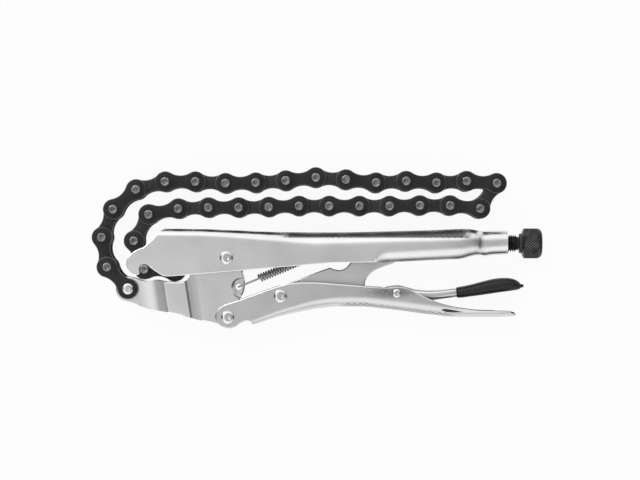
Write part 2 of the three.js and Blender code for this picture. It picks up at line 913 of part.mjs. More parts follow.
const tool = new THREE.Group();
tool.position.z = restHalf;

function add(name, shape, finish) {
  const mesh = new THREE.Mesh(geometryOf(shape), new THREE.MeshStandardMaterial(finish));
  mesh.name = name;
  tool.add(mesh);
}

const wallSeat = wallFace + clearance;
const spring = springPath();
const pins = chainPins();

add("fixed_handle", fixedHandle(), nickel);
add("adjusting_screw", adjustingScrew(), blackSteel);
add("adjusting_knob", adjustingKnob(), blackKnurl);
add("jaw_bracket", jawBracket(), nickel);
add("jaw_pivot_rivet", rivet(jawPivot, pivotShankDiameter, pivotHeadDiameter, wallSeat), brightSteel);
add("lever_handle", leverHandle(), nickel);
add("lever_pivot_rivet", rivet(leverPivot, pivotShankDiameter, pivotHeadDiameter, wallSeat), brightSteel);
add("toggle_link", toggleLink(), nickel);
add("toggle_rivet", rivet(togglePivot, pivotShankDiameter, pivotHeadDiameter, wallSeat), brightSteel);
add("release_lever", releaseLever(), nickel);
add("release_rivet", rivet(releasePivot, releaseShankDiameter, releaseHeadDiameter, wallSeat), brightSteel);
add("release_grip", releaseGrip(), blackVinyl);
add("tension_spring", solid(wireTube(spring.path, wireDiameter / 2, wireSides)), springSteel);

const endSeat = endPlateFace + clearance;
add("chain_end_rivet", rivet(chainEnd, chainEndShankDiameter, chainEndHeadDiameter, endSeat), brightSteel);
add("chain_end_plate_upper", endPlate(pins[0], pins[1], wallBack, endPlateFace), blackSteel);
add("chain_end_plate_lower", endPlate(pins[0], pins[1], -endPlateFace, -wallBack), blackSteel);
for (let link = 1; link + 1 < pins.length; link += 1) {
  const make = link % 2 === 1 ? outerLink : innerLink;
  add(`chain_link_${String(link).padStart(2, "0")}`, make(pins[link], pins[link + 1]), blackSteel);
}

console.log(`least gap between the spring's turns: ${leastCoilGap(spring.coil).toFixed(2)} mm`);
export default tool;
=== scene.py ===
# A locking chain clamp, dressed for the photograph. Pieces are made in millimetres about the tool's middle
# plane, in the CAD frame's X and Y, and are then scaled to metres and lifted so that it lies on the floor.
import math

import bmesh
import bpy
from mathutils import Matrix, Vector


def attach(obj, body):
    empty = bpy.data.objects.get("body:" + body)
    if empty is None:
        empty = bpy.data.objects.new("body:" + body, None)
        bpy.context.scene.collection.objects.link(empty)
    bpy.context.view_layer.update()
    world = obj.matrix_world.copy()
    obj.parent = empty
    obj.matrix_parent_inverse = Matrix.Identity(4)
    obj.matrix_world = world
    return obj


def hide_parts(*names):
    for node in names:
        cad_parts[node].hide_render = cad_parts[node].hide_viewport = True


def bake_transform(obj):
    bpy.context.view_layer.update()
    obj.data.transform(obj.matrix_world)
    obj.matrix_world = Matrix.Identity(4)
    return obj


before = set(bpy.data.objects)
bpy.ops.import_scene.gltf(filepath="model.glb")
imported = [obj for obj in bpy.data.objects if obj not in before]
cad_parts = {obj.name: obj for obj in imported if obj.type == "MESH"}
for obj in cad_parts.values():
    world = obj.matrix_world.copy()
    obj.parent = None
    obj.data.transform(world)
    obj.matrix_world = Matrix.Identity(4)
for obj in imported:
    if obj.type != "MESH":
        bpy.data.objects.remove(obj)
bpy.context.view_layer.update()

# Sizes that the pieces share with the CAD, in millimetres. Faces and backs are heights from the middle plane,
# which lies at REST above the floor.
REST = 12.4
WALL_FACE = 11.15
WALL_BACK = 9.35
OUTER_FACE = 9.05
OUTER_BACK = 7.05
INNER_FACE = 6.75
BUSH_HALF = 4.75
SHEET = 1.8
BRACKET_SHEET = 2.0
PITCH = 15.875
PIN = 2.28
PIVOT_HOLE = 2.9
RELEASE_HOLE = 1.9
# How far cutting shapes reach, and the spacing of the sections of the folded bars.
FAR = 40.0
ENDLESS = 1000.0
SHELL_STEP = 3.0
# Millimetres to a pixel of the photograph along X and along Y, and the pixel of the origin.
ALONG = 148.2 / 281.3
ACROSS = 52.2 / 99.0
ORIGIN = (226.7, 257.7)
# Metres to a millimetre, and the move from the middle plane's millimetres into the frame.
MM = 0.001
TO_FRAME = Matrix.Scale(MM, 4) @ Matrix.Translation((0, 0, REST))


def at(x, y):
    """A place in plan from a pixel of the photograph."""
    return Vector(((x - ORIGIN[0]) * ALONG, (ORIGIN[1] - y) * ACROSS))


def x_at(x):
    """The X of a pixel's column."""
    return at(x, 0).x


def y_at(y):
    """The Y of a pixel's row."""
    return at(0, y).y


def flat(points):
    """Plan places from pixels; a third value marks a sharp corner."""
    return [(at(p[0], p[1]), len(p) > 2) for p in points]


JAW_PIVOT = at(*ORIGIN)
LEVER_PIVOT = at(228, 317)
TOGGLE_PIVOT = at(280.5, 295.8)
RELEASE_PIVOT = at(396.5, 293)
CHAIN_END = at(128.5, 288.6)
HOOK = at(144.7, 269.1)
EAR_HOLE = at(238.4, 287)
SPRING_FAR = at(322, 252.4)
SCREW_Y = y_at(243.4)
TIP = x_at(400) + 1.2
THREAD_END = x_at(517.2)
KNOB_FACE = x_at(523)
KNOB_END = KNOB_FACE + 10.4
KNOB_RADIUS = 7.95
THREAD_PITCH = 1.06
KNURL_PITCH = 1.5
KNURL_CELLS = round(2 * math.pi * KNOB_RADIUS / KNURL_PITCH)
# Lines past the tool's left, upper and lower edges, where cutting shapes end.
LEFT, TOP, BOTTOM = x_at(100), y_at(212), y_at(345)


# Outlines and meshes.
def area(points):
    """The area of a closed outline, positive where it runs anticlockwise."""
    return sum(a.x * b.y - a.y * b.x for a, b in zip(points, points[1:] + points[:1])) / 2


def anticlockwise(points):
    """An outline as it is, or turned round where it runs clockwise."""
    return points if area(points) > 0 else points[::-1]


def cubic(t):
    """A cubic's weights: for its start, the slope there, its end, and the slope there."""
    u, v = t * t, t * t * t
    return 2 * v - 3 * u + 1, v - 2 * u + t, 3 * u - 2 * v, v - u


def curve(marked, step=0.8):
    """A closed anticlockwise outline drawn smoothly through places, sharp at the marked ones."""
    places = [p for p, _ in marked]
    sharp = [s for _, s in marked]
    count = len(places)
    drawn = []
    for i in range(count):
        j = (i + 1) % count
        a, b = places[i], places[j]
        span = (b - a).length
        if sharp[i]:
            ta = b - a
        else:
            ta = (b - places[i - 1]).normalized() * span
        if sharp[j]:
            tb = b - a
        else:
            tb = (places[(j + 1) % count] - a).normalized() * span
        parts = 1 if sharp[i] and sharp[j] else max(2, round(span / step))
        for k in range(parts):
            start, leaving, end, arriving = cubic(k / parts)
            drawn.append(start * a + leaving * ta + end * b + arriving * tb)
    return anticlockwise(drawn)


def grow(points, reach, sharpest=0.35):
    """Moves an anticlockwise outline outwards; corners sharper than the given cosine stay short."""
    moved = []
    count = len(points)
    for i, p in enumerate(points):
        a = (p - points[i - 1]).normalized()
        b = (points[(i + 1) % count] - p).normalized()
        out = Vector((a.y + b.y, -a.x - b.x)).normalized()
        moved.append(p + out * reach / max(sharpest, out.dot(Vector((a.y, -a.x)))))
    return moved


def skin(bm, rings):
    """Joins rings of equally many places into one closed surface."""
    rows = [[bm.verts.new(p) for p in ring] for ring in rings]
    size = len(rows[0])
    for a, b in zip(rows, rows[1:]):
        for i in range(size):
            j = (i + 1) % size
            bm.faces.new((a[i], a[j], b[j], b[i]))
    bm.faces.new(rows[0][::-1])
    bm.faces.new(rows[-1])


def plate(bm, outline, low, high, rim=0.0, steps=3):
    """A flat plate of an outline, its rims rounded where it is given a rim."""
    rings = []
    if rim <= 0:
        layers = [(low, 0.0), (high, 0.0)]
    else:
        turn = [math.pi / 2 * k / steps for k in range(steps + 1)]
        layers = [(low + rim * (1 - math.sin(t)), -rim * (1 - math.cos(t))) for t in reversed(turn)]
        layers += [(high - rim * (1 - math.sin(t)), -rim * (1 - math.cos(t))) for t in turn]
    for z, reach in layers:
        line = grow(outline, reach) if reach else outline
        rings.append([Vector((p.x, p.y, z)) for p in line])
    skin(bm, rings)


def chamfered(bm, outline, half, width, depth):
    """A flat plate whose edges are cut off at a slant, wider than it is deep."""
    layers = [(-half, -width), (depth - half, 0.0), (half - depth, 0.0), (half, -width)]
    skin(bm, [[Vector((p.x, p.y, z)) for p in grow(outline, reach)] for z, reach in layers])


def turned(bm, profile, centre, sides=48, axis="Z"):
    """A piece turned about an axis through a place: radii and places along the axis."""
    rings = []
    for radius, along in profile:
        ring = []
        for k in range(sides):
            angle = 2 * math.pi * k / sides
            u, v = radius * math.cos(angle), radius * math.sin(angle)
            if axis == "Z":
                ring.append(Vector((centre[0] + u, centre[1] + v, along)))
            else:
                ring.append(Vector((along, centre[0] + u, centre[1] + v)))
        rings.append(ring)
    skin(bm, rings)


def softened(value, power):
    """A sine or cosine raised to a power with its sign kept: below one it makes a round squarer."""
    return math.copysign(abs(value) ** power, value)


def rounded_section(x, low, high, half, low_radius, high_radius, steps=14, power=0.8):
    """A rectangle square to X, with corners that turn softly into its sides."""
    ring = []
    corners = (
        (high - high_radius, half - high_radius, high_radius),
        (high - high_radius, high_radius - half, high_radius),
        (low + low_radius, low_radius - half, low_radius),
        (low + low_radius, half - low_radius, low_radius),
    )
    for quarter, (y, z, radius) in enumerate(corners):
        for k in range(steps + 1):
            angle = (quarter + k / steps) * math.pi / 2
            up, out = softened(math.sin(angle), power), softened(math.cos(angle), power)
            ring.append(Vector((x, y + radius * up, z + radius * out)))
    return ring


def eased(rows, x, k):
    """The value of a table's column at x, drawn smoothly between its rows without overshoot."""
    last = len(rows) - 1
    i = max(n for n in range(last) if rows[n][0] <= x or n == 0)

    def slope(n):
        return (rows[n + 1][k] - rows[n][k]) / (rows[n + 1][0] - rows[n][0])

    def tangent(n):
        if n in (0, last):
            return slope(0 if n == 0 else last - 1)
        a, b = slope(n - 1), slope(n)
        return 0.0 if a * b <= 0 else 2 * a * b / (a + b)

    span = rows[i + 1][0] - rows[i][0]
    start, leaving, end, arriving = cubic((x - rows[i][0]) / span)
    value = start * rows[i][k] + leaving * span * tangent(i)
    return value + end * rows[i + 1][k] + arriving * span * tangent(i + 1)


def stations(rows, step, start=None, end=None):
    """Evenly spaced places along a table, about a step apart."""
    low = rows[0][0] if start is None else start
    high = rows[-1][0] if end is None else end
    count = max(2, round((high - low) / step))
    return [low + (high - low) * k / count for k in range(count + 1)]


def placed(name, data):
    """An object of some data, put in the scene."""
    obj = bpy.data.objects.new(name, data)
    bpy.context.scene.collection.objects.link(obj)
    return obj


def made(build, *args, **kwargs):
    """An object from one builder of meshes, its faces turned outwards."""
    bm = bmesh.new()
    build(bm, *args, **kwargs)
    bmesh.ops.recalc_face_normals(bm, faces=bm.faces)
    mesh = bpy.data.meshes.new("shape")
    bm.to_mesh(mesh)
    bm.free()
    return placed("shape", mesh)


def settle(obj):
    """Applies an object's modifiers to its mesh."""
    graph = bpy.context.evaluated_depsgraph_get()
    mesh = bpy.data.meshes.new_from_object(obj.evaluated_get(graph))
    obj.modifiers.clear()
    old = obj.data
    obj.data = mesh
    bpy.data.meshes.remove(old)


def combine(base, other, operation):
    """Joins, cuts or crosses a shape with another, which is used up."""
    modifier = base.modifiers.new("cut", "BOOLEAN")
    modifier.operation = operation
    modifier.solver = "EXACT"
    modifier.object = other
    settle(base)
    bpy.data.objects.remove(other)
    return base


def slab(outline, low=-FAR, high=FAR):
    """A plate with square rims, as a shape to join or cut with."""
    return made(plate, outline, low, high)


def block(x0, y0, z0, x1, y1, z1):
    """A box between two corners."""
    return slab([Vector((x0, y0)), Vector((x1, y0)), Vector((x1, y1)), Vector((x0, y1))], z0, z1)


def drill(centre, radius, sides=40):
    """A round bar through the whole tool."""
    return made(turned, [(radius, -FAR), (radius, FAR)], centre, sides)


def plane_edges(base, outline, level, width=0.55, depth=0.24, start=-ENDLESS, end=ENDLESS):
    """Cuts an outline's edges off at a slant on both faces, at one height from the middle plane."""
    margin, skim = 0.3, 0.02
    for sign in (1, -1):
        low, high = sorted((sign * (level - depth), sign * (level + skim)))
        waste = slab(grow(outline, margin), low, high)
        # The metal that stays: its slant crosses the outline one depth down and the face one width in.
        kept = []
        for z, reach in ((level - 2 * depth, width), (level + depth / 6, -width * 7 / 6)):
            kept.append([Vector((p.x, p.y, sign * z)) for p in grow(outline, reach)])
        combine(waste, made(skin, kept), "DIFFERENCE")
        combine(waste, block(start, -FAR, -FAR, end, FAR, FAR), "INTERSECT")
        combine(base, waste, "DIFFERENCE")


def smooth(obj):
    """Shades all of an object's faces smoothly."""
    for face in obj.data.polygons:
        face.use_smooth = True


def round_rims(obj, width, weld=0.02, flatness=0.6, sharpness=38):
    """Welds close places, clears needless edges and rounds the sharp ones; its angles are in degrees."""
    bm = bmesh.new()
    bm.from_mesh(obj.data)
    bmesh.ops.remove_doubles(bm, verts=bm.verts, dist=weld * MM)
    bmesh.ops.dissolve_limit(bm, angle_limit=math.radians(flatness), verts=bm.verts, edges=bm.edges)
    bm.to_mesh(obj.data)
    bm.free()
    modifier = obj.modifiers.new("rim", "BEVEL")
    modifier.width = width * MM
    modifier.segments = 2
    modifier.limit_method = "ANGLE"
    modifier.angle_limit = math.radians(sharpness)
    modifier.miter_outer = "MITER_ARC"
    settle(obj)


def weigh_normals(obj):
    """Lets the large faces lead the shading, so that flats look flat."""
    modifier = obj.modifiers.new("normals", "WEIGHTED_NORMAL")
    modifier.keep_sharp = True
    modifier.weight = 80
    settle(obj)


def piece(obj, name, finish, body, nodes=(), angle=30, bevel=0.0, weighted=False):
    """Names a finished shape, puts it in the frame, hangs it on the body it rides on, and hides the CAD parts
    it stands for.
    """
    obj.name = name
    obj.data.name = name
    for material in finish if isinstance(finish, tuple) else [finish]:
        obj.data.materials.append(material)
    obj.data.transform(TO_FRAME)
    if bevel:
        round_rims(obj, bevel)
    smooth(obj)
    obj.data.set_sharp_from_angle(angle=math.radians(angle))
    if weighted:
        weigh_normals(obj)
    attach(obj, body)
    if nodes:
        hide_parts(*nodes)


# Materials.
class Nodes:
    """A small builder of node trees."""

    def __init__(self, tree):
        self.tree = tree
        self.tree.nodes.clear()

    def add(self, kind, inputs=None, **settings):
        """A node with its settings, and its inputs linked or set."""
        node = self.tree.nodes.new(kind)
        for key, value in settings.items():
            setattr(node, key, value)
        for key, value in (inputs or {}).items():
            if isinstance(value, bpy.types.NodeSocket):
                self.tree.links.new(value, node.inputs[key])
            else:
                node.inputs[key].default_value = value
        return node

    def math(self, operation, a, b=0.0):
        return self.add("ShaderNodeMath", {0: a, 1: b}, operation=operation).outputs[0]

    def product(self, first, *others):
        for other in others:
            first = self.math("MULTIPLY", first, other)
        return first

    def parts(self, vector):
        """The X, Y and Z of a vector."""
        return tuple(self.add("ShaderNodeSeparateXYZ", {"Vector": vector}).outputs)

    def noise(self, vector, scale, detail=2.0, roughness=0.5):
        inputs = {"Vector": vector, "Scale": scale, "Detail": detail, "Roughness": roughness}
        return self.add("ShaderNodeTexNoise", inputs).outputs["Fac"]

    def span(self, value, low, high, to_low, to_high, smooth=False):
        """A value moved from one range to another and held at its ends."""
        node = self.add(
            "ShaderNodeMapRange",
            {"Value": value, "From Min": low, "From Max": high, "To Min": to_low, "To Max": to_high},
            interpolation_type="SMOOTHSTEP" if smooth else "LINEAR",
        )
        return node.outputs["Result"]

    def ramp(self, value, low, high, to_low, to_high):
        """A span of a coordinate between two places in millimetres."""
        return self.span(value, low * MM, high * MM, to_low, to_high)

    def mix(self, fac, a, b):
        """Two colours mixed; the numbers are the node's sockets for colours."""
        return self.add("ShaderNodeMix", {0: fac, 6: a, 7: b}, data_type="RGBA").outputs[2]

    def bump(self, height, strength, distance, normal=None):
        """A normal from a height between 0 and 1, which stands for a distance in millimetres."""
        inputs = {"Height": height, "Strength": strength, "Distance": distance * MM}
        if normal is not None:
            inputs["Normal"] = normal
        return self.add("ShaderNodeBump", inputs).outputs["Normal"]


def grey(value):
    """A grey that is very slightly cool."""
    return (value, value, value * 1.01, 1.0)


def new_material(name):
    """A material, the builder of its nodes, and a point's place in its piece."""
    material = bpy.data.materials.new(name)
    material.use_nodes = True
    nodes = Nodes(material.node_tree)
    place = nodes.add("ShaderNodeTexCoord").outputs["Object"]
    return material, nodes, place


def close(nodes, colour, roughness, metallic, normal, **sockets):
    """Ends a material with its shader, whose other sockets are set by name."""
    inputs = {"Base Color": colour, "Roughness": roughness, "Metallic": metallic, "Normal": normal}
    for key, value in sockets.items():
        inputs[key.replace("_", " ")] = value
    shader = nodes.add("ShaderNodeBsdfPrincipled", inputs)
    nodes.add("ShaderNodeOutputMaterial", {"Surface": shader.outputs[0]})


def diamonds(nodes, along, around, length=3.2, width=2.4, groove=0.16):
    """A diamond knurl: height from two crossed families of grooves."""
    u = nodes.math("DIVIDE", along, length * MM)
    v = nodes.math("DIVIDE", around, width * MM)
    heights = []
    for operation in ("ADD", "SUBTRACT"):
        wave = nodes.math("PINGPONG", nodes.math(operation, u, v), 0.5)
        heights.append(nodes.span(wave, 0.0, groove, 0.0, 1.0, smooth=True))
    return nodes.product(*heights)


def nickel(name, knurl=None, base=0.8, rough=(0.27, 0.31), grain=0.05, patch=None):
    """Nickel plated sheet: a fine grain, faint cloudy wear, and a knurl or a dark patch with painted shade
    where it has one.
    """
    material, nodes, place = new_material(name)
    cloud = nodes.noise(place, 48, 3)
    fine = nodes.noise(place, 1500, 2)
    colour = nodes.mix(nodes.span(cloud, 0.35, 0.65, 0, 1), grey(base * 0.97), grey(base * 1.03))
    worn = nodes.span(cloud, 0.3, 0.7, rough[0], rough[1])
    roughness = nodes.math("ADD", worn, nodes.span(fine, 0.3, 0.7, -0.006, 0.006))
    normal = nodes.bump(fine, grain, 0.01)
    if patch:
        # The patch paints a dark mottle round the release rivet and painted shade inside the lever's fold.
        colour = nodes.mix(patch(nodes, place), colour, grey(0.08))
    if knurl:
        height, mask, groove, crown = knurl(nodes, place)
        # Painted shade: the knurl's grooves and crowns are darkened in colour, each by its own share.
        knurl_painted_shade = nodes.mix(height, grey(base * groove), grey(base * crown))
        colour = nodes.mix(mask, colour, knurl_painted_shade)
        normal = nodes.bump(nodes.product(height, mask), 1.0, 0.3, normal)
    close(nodes, colour, roughness, 1.0, normal)
    return material


def from_middle(nodes, z):
    """How far a place is from the tool's middle plane."""
    return nodes.math("ABSOLUTE", nodes.math("SUBTRACT", z, REST * MM))


def handle_knurl(nodes, place):
    """The knurl round the handle's back: its height, where it is, and its grooves' and crowns' painted shade,
    dark over the band.
    """
    x, y, z = nodes.parts(place)
    height = diamonds(nodes, x, nodes.math("SUBTRACT", from_middle(nodes, z), y))
    start = nodes.ramp(x, x_at(281), x_at(290), 0, 1)
    end = nodes.ramp(x, x_at(462), x_at(472), 1, 0)
    back = nodes.ramp(y, y_at(238.4), y_at(236.8), 0, 1)
    return height, nodes.product(start, end, back), 0.62, 0.2


def above_belly(nodes, x, y):
    """How far a place lies above the line of the lever's belly, in pixels: level, falling, level again."""
    start, length, level, fall = 365, 84, 306.4, 0.125
    along = nodes.math("MAXIMUM", nodes.math("SUBTRACT", x, x_at(start) * MM), 0.0)
    along = nodes.math("MINIMUM", along, length * ALONG * MM)
    rise = nodes.math("SUBTRACT", y, y_at(level) * MM)
    return nodes.product(nodes.math("ADD", rise, nodes.product(along, fall)), 1 / MM / ACROSS)


def lever_knurl(nodes, place):
    """The knurl round the lever's belly, in the terms of the handle's; its grooves are painted darker, as
    shade.
    """
    x, y, z = nodes.parts(place)
    height = diamonds(nodes, x, nodes.math("ADD", from_middle(nodes, z), y))
    start = nodes.ramp(x, x_at(338), x_at(348), 0, 1)
    end = nodes.ramp(x, x_at(446), x_at(456), 1, 0)
    belly = nodes.span(above_belly(nodes, x, y), 4.2, 3.4, 0, 1)
    return height, nodes.product(start, end, belly), 0.35, 0.95


def lever_patch_and_fold_shade(nodes, place):
    """A dark mottled patch round the release rivet, and painted shade on the inside faces of the lever's
    fold.
    """
    x, y, z = nodes.parts(place)
    half_length, half_height = 13.5, 3.2
    across = nodes.math("DIVIDE", nodes.math("SUBTRACT", x, x_at(392) * MM), half_length * MM)
    up = nodes.math("DIVIDE", nodes.math("SUBTRACT", y, y_at(292) * MM), half_height * MM)
    reach = nodes.math("SQRT", nodes.math("ADD", nodes.product(across, across), nodes.product(up, up)))
    mottle = nodes.noise(place, 900, 4, 0.7)
    edge = nodes.math("ADD", reach, nodes.span(mottle, 0.3, 0.7, -0.45, 0.45))
    dark = nodes.span(edge, 0.35, 1.3, 0.8, 0.0, smooth=True)
    rivet_patch = nodes.product(dark, nodes.span(mottle, 0.38, 0.6, 0.35, 1.0))
    back = WALL_FACE - SHEET
    inner = nodes.ramp(from_middle(nodes, z), back + 0.1, back + 0.2, 1, 0)
    # Painted shade: the inner faces of the fold, above the belly line, are painted dark.
    fold_inside_shade = nodes.product(inner, nodes.span(above_belly(nodes, x, y), 3.5, 3.7, 0, 1))
    return nodes.math("MAXIMUM", rivet_patch, fold_inside_shade)


def chain_black(name, base, rough=(0.36, 0.5), metallic=0.2):
    """Dark oiled plate, faintly cloudy and finely grained."""
    material, nodes, place = new_material(name)
    cloud = nodes.noise(place, 130, 4, 0.6)
    fine = nodes.noise(place, 2300, 2)
    colour = nodes.mix(nodes.span(cloud, 0.35, 0.7, 0, 1), grey(base * 0.75), grey(base * 1.3))
    roughness = nodes.span(cloud, 0.3, 0.7, rough[0], rough[1])
    normal = nodes.bump(fine, 0.2, 0.03)
    close(nodes, colour, roughness, metallic, normal, Specular_IOR_Level=0.4)
    return material


def pin_end(name, low=0.08, high=0.24):
    """Sheared and riveted pin ends: mottled between two greys."""
    material, nodes, place = new_material(name)
    mottle = nodes.noise(place, 800, 4, 0.65)
    fine = nodes.noise(place, 3200, 2)
    colour = nodes.mix(nodes.span(mottle, 0.36, 0.64, 0, 1), grey(low), grey(high))
    roughness = nodes.span(mottle, 0.3, 0.7, 0.32, 0.5)
    normal = nodes.bump(mottle, 0.45, 0.08, nodes.bump(fine, 0.2, 0.04))
    close(nodes, colour, roughness, 0.9, normal)
    return material


def black_oxide(name, base=0.012, bright=0.05, pattern=None):
    """Blackened steel: near black, rubbed lighter in places and along the lines of its knurl."""
    material, nodes, place = new_material(name)
    cloud = nodes.noise(place, 240, 4, 0.6)
    fine = nodes.noise(place, 2600, 2)
    colour = nodes.mix(nodes.span(cloud, 0.42, 0.75, 0, 1), grey(base), grey(bright))
    if pattern:
        rub = nodes.product(pattern(nodes, place), nodes.span(cloud, 0.35, 0.6, 0.25, 0.9))
        colour = nodes.mix(rub, colour, grey(0.32))
    roughness = nodes.span(cloud, 0.3, 0.7, 0.28, 0.42)
    close(nodes, colour, roughness, 0.5, nodes.bump(fine, 0.2, 0.04), Specular_IOR_Level=0.3)
    return material


def knob_lines(nodes, place):
    """The rubbed lines between the knurl's points."""
    x, y, z = nodes.parts(place)
    up = nodes.math("SUBTRACT", z, REST * MM)
    turn = nodes.math("ARCTAN2", up, nodes.math("SUBTRACT", y, SCREW_Y * MM))
    around = nodes.product(turn, KNURL_CELLS / (2 * math.pi))
    along = nodes.math("DIVIDE", x, KNURL_PITCH * MM)
    lines = []
    for operation, width in (("ADD", 0.14), ("SUBTRACT", 0.1)):
        wave = nodes.math("PINGPONG", nodes.math(operation, around, along), 0.5)
        lines.append(nodes.span(wave, 0.5 - width, 0.5, 0.0, 1.0, smooth=True))
    flank = nodes.ramp(x, KNOB_END - 1.5, KNOB_END - 0.8, 1, 0)
    return nodes.product(nodes.math("MAXIMUM", *lines), flank)


def vinyl(name):
    """Dipped vinyl: matte black with a faint orange-peel skin."""
    material, nodes, place = new_material(name)
    peel = nodes.noise(place, 420, 3)
    fine = nodes.noise(place, 2400, 2)
    colour = nodes.mix(nodes.span(peel, 0.35, 0.65, 0, 1), grey(0.009), grey(0.014))
    roughness = nodes.span(peel, 0.3, 0.7, 0.36, 0.46)
    normal = nodes.bump(peel, 0.2, 0.08, nodes.bump(fine, 0.2, 0.03))
    close(nodes, colour, roughness, 0.0, normal, Specular_IOR_Level=0.4)
    return material


NICKEL = nickel("nickel_plate")
NICKEL_HANDLE = nickel("nickel_plate_handle", handle_knurl)
NICKEL_LEVER = nickel("nickel_plate_lever", lever_knurl, base=0.69, patch=lever_patch_and_fold_shade)
NICKEL_LINK = nickel("nickel_plate_link", base=0.76)
BRIGHT = nickel("bright_rivet", base=0.84, rough=(0.14, 0.2), grain=0.03)
WIRE = nickel("spring_wire", base=0.62, rough=(0.42, 0.5), grain=0.03)
CHAIN_OUTER = chain_black("black_chain_outer", 0.014)
CHAIN_INNER = chain_black("black_chain_inner", 0.024)
# The rims' lighter, shinier black is painted highlight.
CHAIN_RIM_HIGHLIGHT = chain_black("black_chain_rim_highlight", 0.16, (0.3, 0.4), 0.6)
PIN_END = pin_end("chain_pin_end")
# The pins' lighter rim grey is painted highlight.
PIN_RIM_HIGHLIGHT = pin_end("chain_pin_rim_highlight", 0.26, 0.5)
SCREW = black_oxide("black_screw")
KNOB = black_oxide("black_knurl", 0.006, 0.016, knob_lines)
VINYL = vinyl("black_vinyl")

# The fixed handle: its outline in pixels of the photograph.
HANDLE_OUTLINE = [
    (164, 228.2, 1), (156.8, 235.4), (148, 243.8), (143.4, 247.4), (138, 249.5), (133.2, 252.4),
    (129.2, 256.4), (127.2, 261.4), (127.3, 266.3), (129.4, 270.4), (132.8, 273.8), (136.2, 275.1),
    (139, 274.4), (140.6, 272.8), (139.9, 269.4), (140.8, 266.2), (143.3, 264.4), (146.2, 264.5),
    (149.1, 266.2), (154, 269.8), (160.3, 274), (164.4, 275.9), (172, 276), (200, 273.9), (241, 270.5),
    (300, 265.4), (330, 262.9), (352, 262.4), (395, 261.8), (430, 260.2), (458, 259.2, 1), (466, 262, 1),
    (530, 264, 1), (530, 215, 1), (164, 215, 1),
]
# Column, back and open edge in pixels; half width, radius at the back and radius at the lips in millimetres.
HANDLE_SECTIONS = [
    (118, 228.4, 312, 11.15, 4.6, 0.6),
    (200, 229, 312, 11.15, 4.8, 0.6),
    (240, 230.6, 312, 11.15, 5.4, 0.6),
    (280, 231.9, 312, 11.15, 7.0, 0.6),
    (320, 232.4, 312, 11.15, 8.4, 0.6),
    (350, 232.2, 310, 11.15, 8.4, 0.8),
    (372, 231.7, 276, 11.15, 8.2, 5.4),
    (378, 231.6, 266, 11.15, 8.2, 6.8),
    (386, 231.4, 263.8, 11.15, 8.2, 7.8),
    (404, 230.9, 263.2, 11.15, 8.2, 8.2),
    (430, 230.2, 261.8, 11.15, 8.2, 8.2),
    (452, 229.2, 260.6, 11.15, 8.2, 8.2),
    (462, 228.9, 259.4, 11.05, 7.8, 7.8),
    (471, 229.2, 256.6, 10.7, 6.9, 6.9),
    (477.6, 230.4, 255.4, 10.1, 6.3, 6.4),
    (480.6, 231.0, 255.9, 7.9, 6.3, 6.4),
    (484, 231.3, 256.6, 7.2, 6.3, 6.5),
    (492, 230.9, 255.2, 7.2, 6.2, 6.2),
    (508, 230.6, 254.4, 7.2, 6.1, 6.1),
]


def handle_shell(inset, end):
    """The handle's folded bar, before its outline is cut, shrunk by an inset and ending at a column."""
    rings = []
    for x in stations(HANDLE_SECTIONS, SHELL_STEP, end=end):
        back, edge, half, back_radius, lip_radius = (eased(HANDLE_SECTIONS, x, k) for k in range(1, 6))
        low, high = y_at(edge) + inset, y_at(back) - inset
        lip_radius, back_radius = max(lip_radius - inset, 0.4), max(back_radius - inset, 0.4)
        rings.append(rounded_section(x_at(x), low, high, half - inset, lip_radius, back_radius))
    return made(skin, rings)


HOLLOW_END = 484
handle_line = curve(flat(HANDLE_OUTLINE))
handle = combine(handle_shell(0, 508), slab(handle_line), "INTERSECT")
combine(handle, handle_shell(SHEET, HOLLOW_END), "DIFFERENCE")

# The tab that holds the spring's far end.
spring_way = (SPRING_FAR - EAR_HOLE).normalized()
spring_side = Vector((-spring_way.y, spring_way.x))
TAB_CORNERS = ((-0.8, -3.0), (0.8, -3.0), (0.8, 9.0), (-0.8, 9.0))
tab = slab([SPRING_FAR + spring_way * a + spring_side * b for a, b in TAB_CORNERS], -3.0, 3.0)
combine(tab, handle_shell(SHEET / 2, HOLLOW_END), "INTERSECT")
combine(handle, tab, "UNION")

# Cuts: the web between the hook's walls, a slot under the tail, the screw's bore and the pivot's hole.
SLOT_HALF, BORE_RADIUS = 4.5, 4.8
combine(handle, block(LEFT, BOTTOM, -WALL_BACK, x_at(164), TOP, WALL_BACK), "DIFFERENCE")
combine(handle, block(x_at(370), BOTTOM, -SLOT_HALF, x_at(HOLLOW_END), SCREW_Y, SLOT_HALF), "DIFFERENCE")
bore = made(turned, [(BORE_RADIUS, x_at(452)), (BORE_RADIUS, x_at(508) + 5)], (SCREW_Y, 0), 40, "X")
combine(handle, bore, "DIFFERENCE")
combine(handle, drill(JAW_PIVOT, PIVOT_HOLE), "DIFFERENCE")
plane_edges(handle, handle_line, WALL_FACE, end=x_at(386))
piece(
    handle, "handle_shell", NICKEL_HANDLE, "handle", ["fixed_handle"],
    bevel=0.32, weighted=True,
)

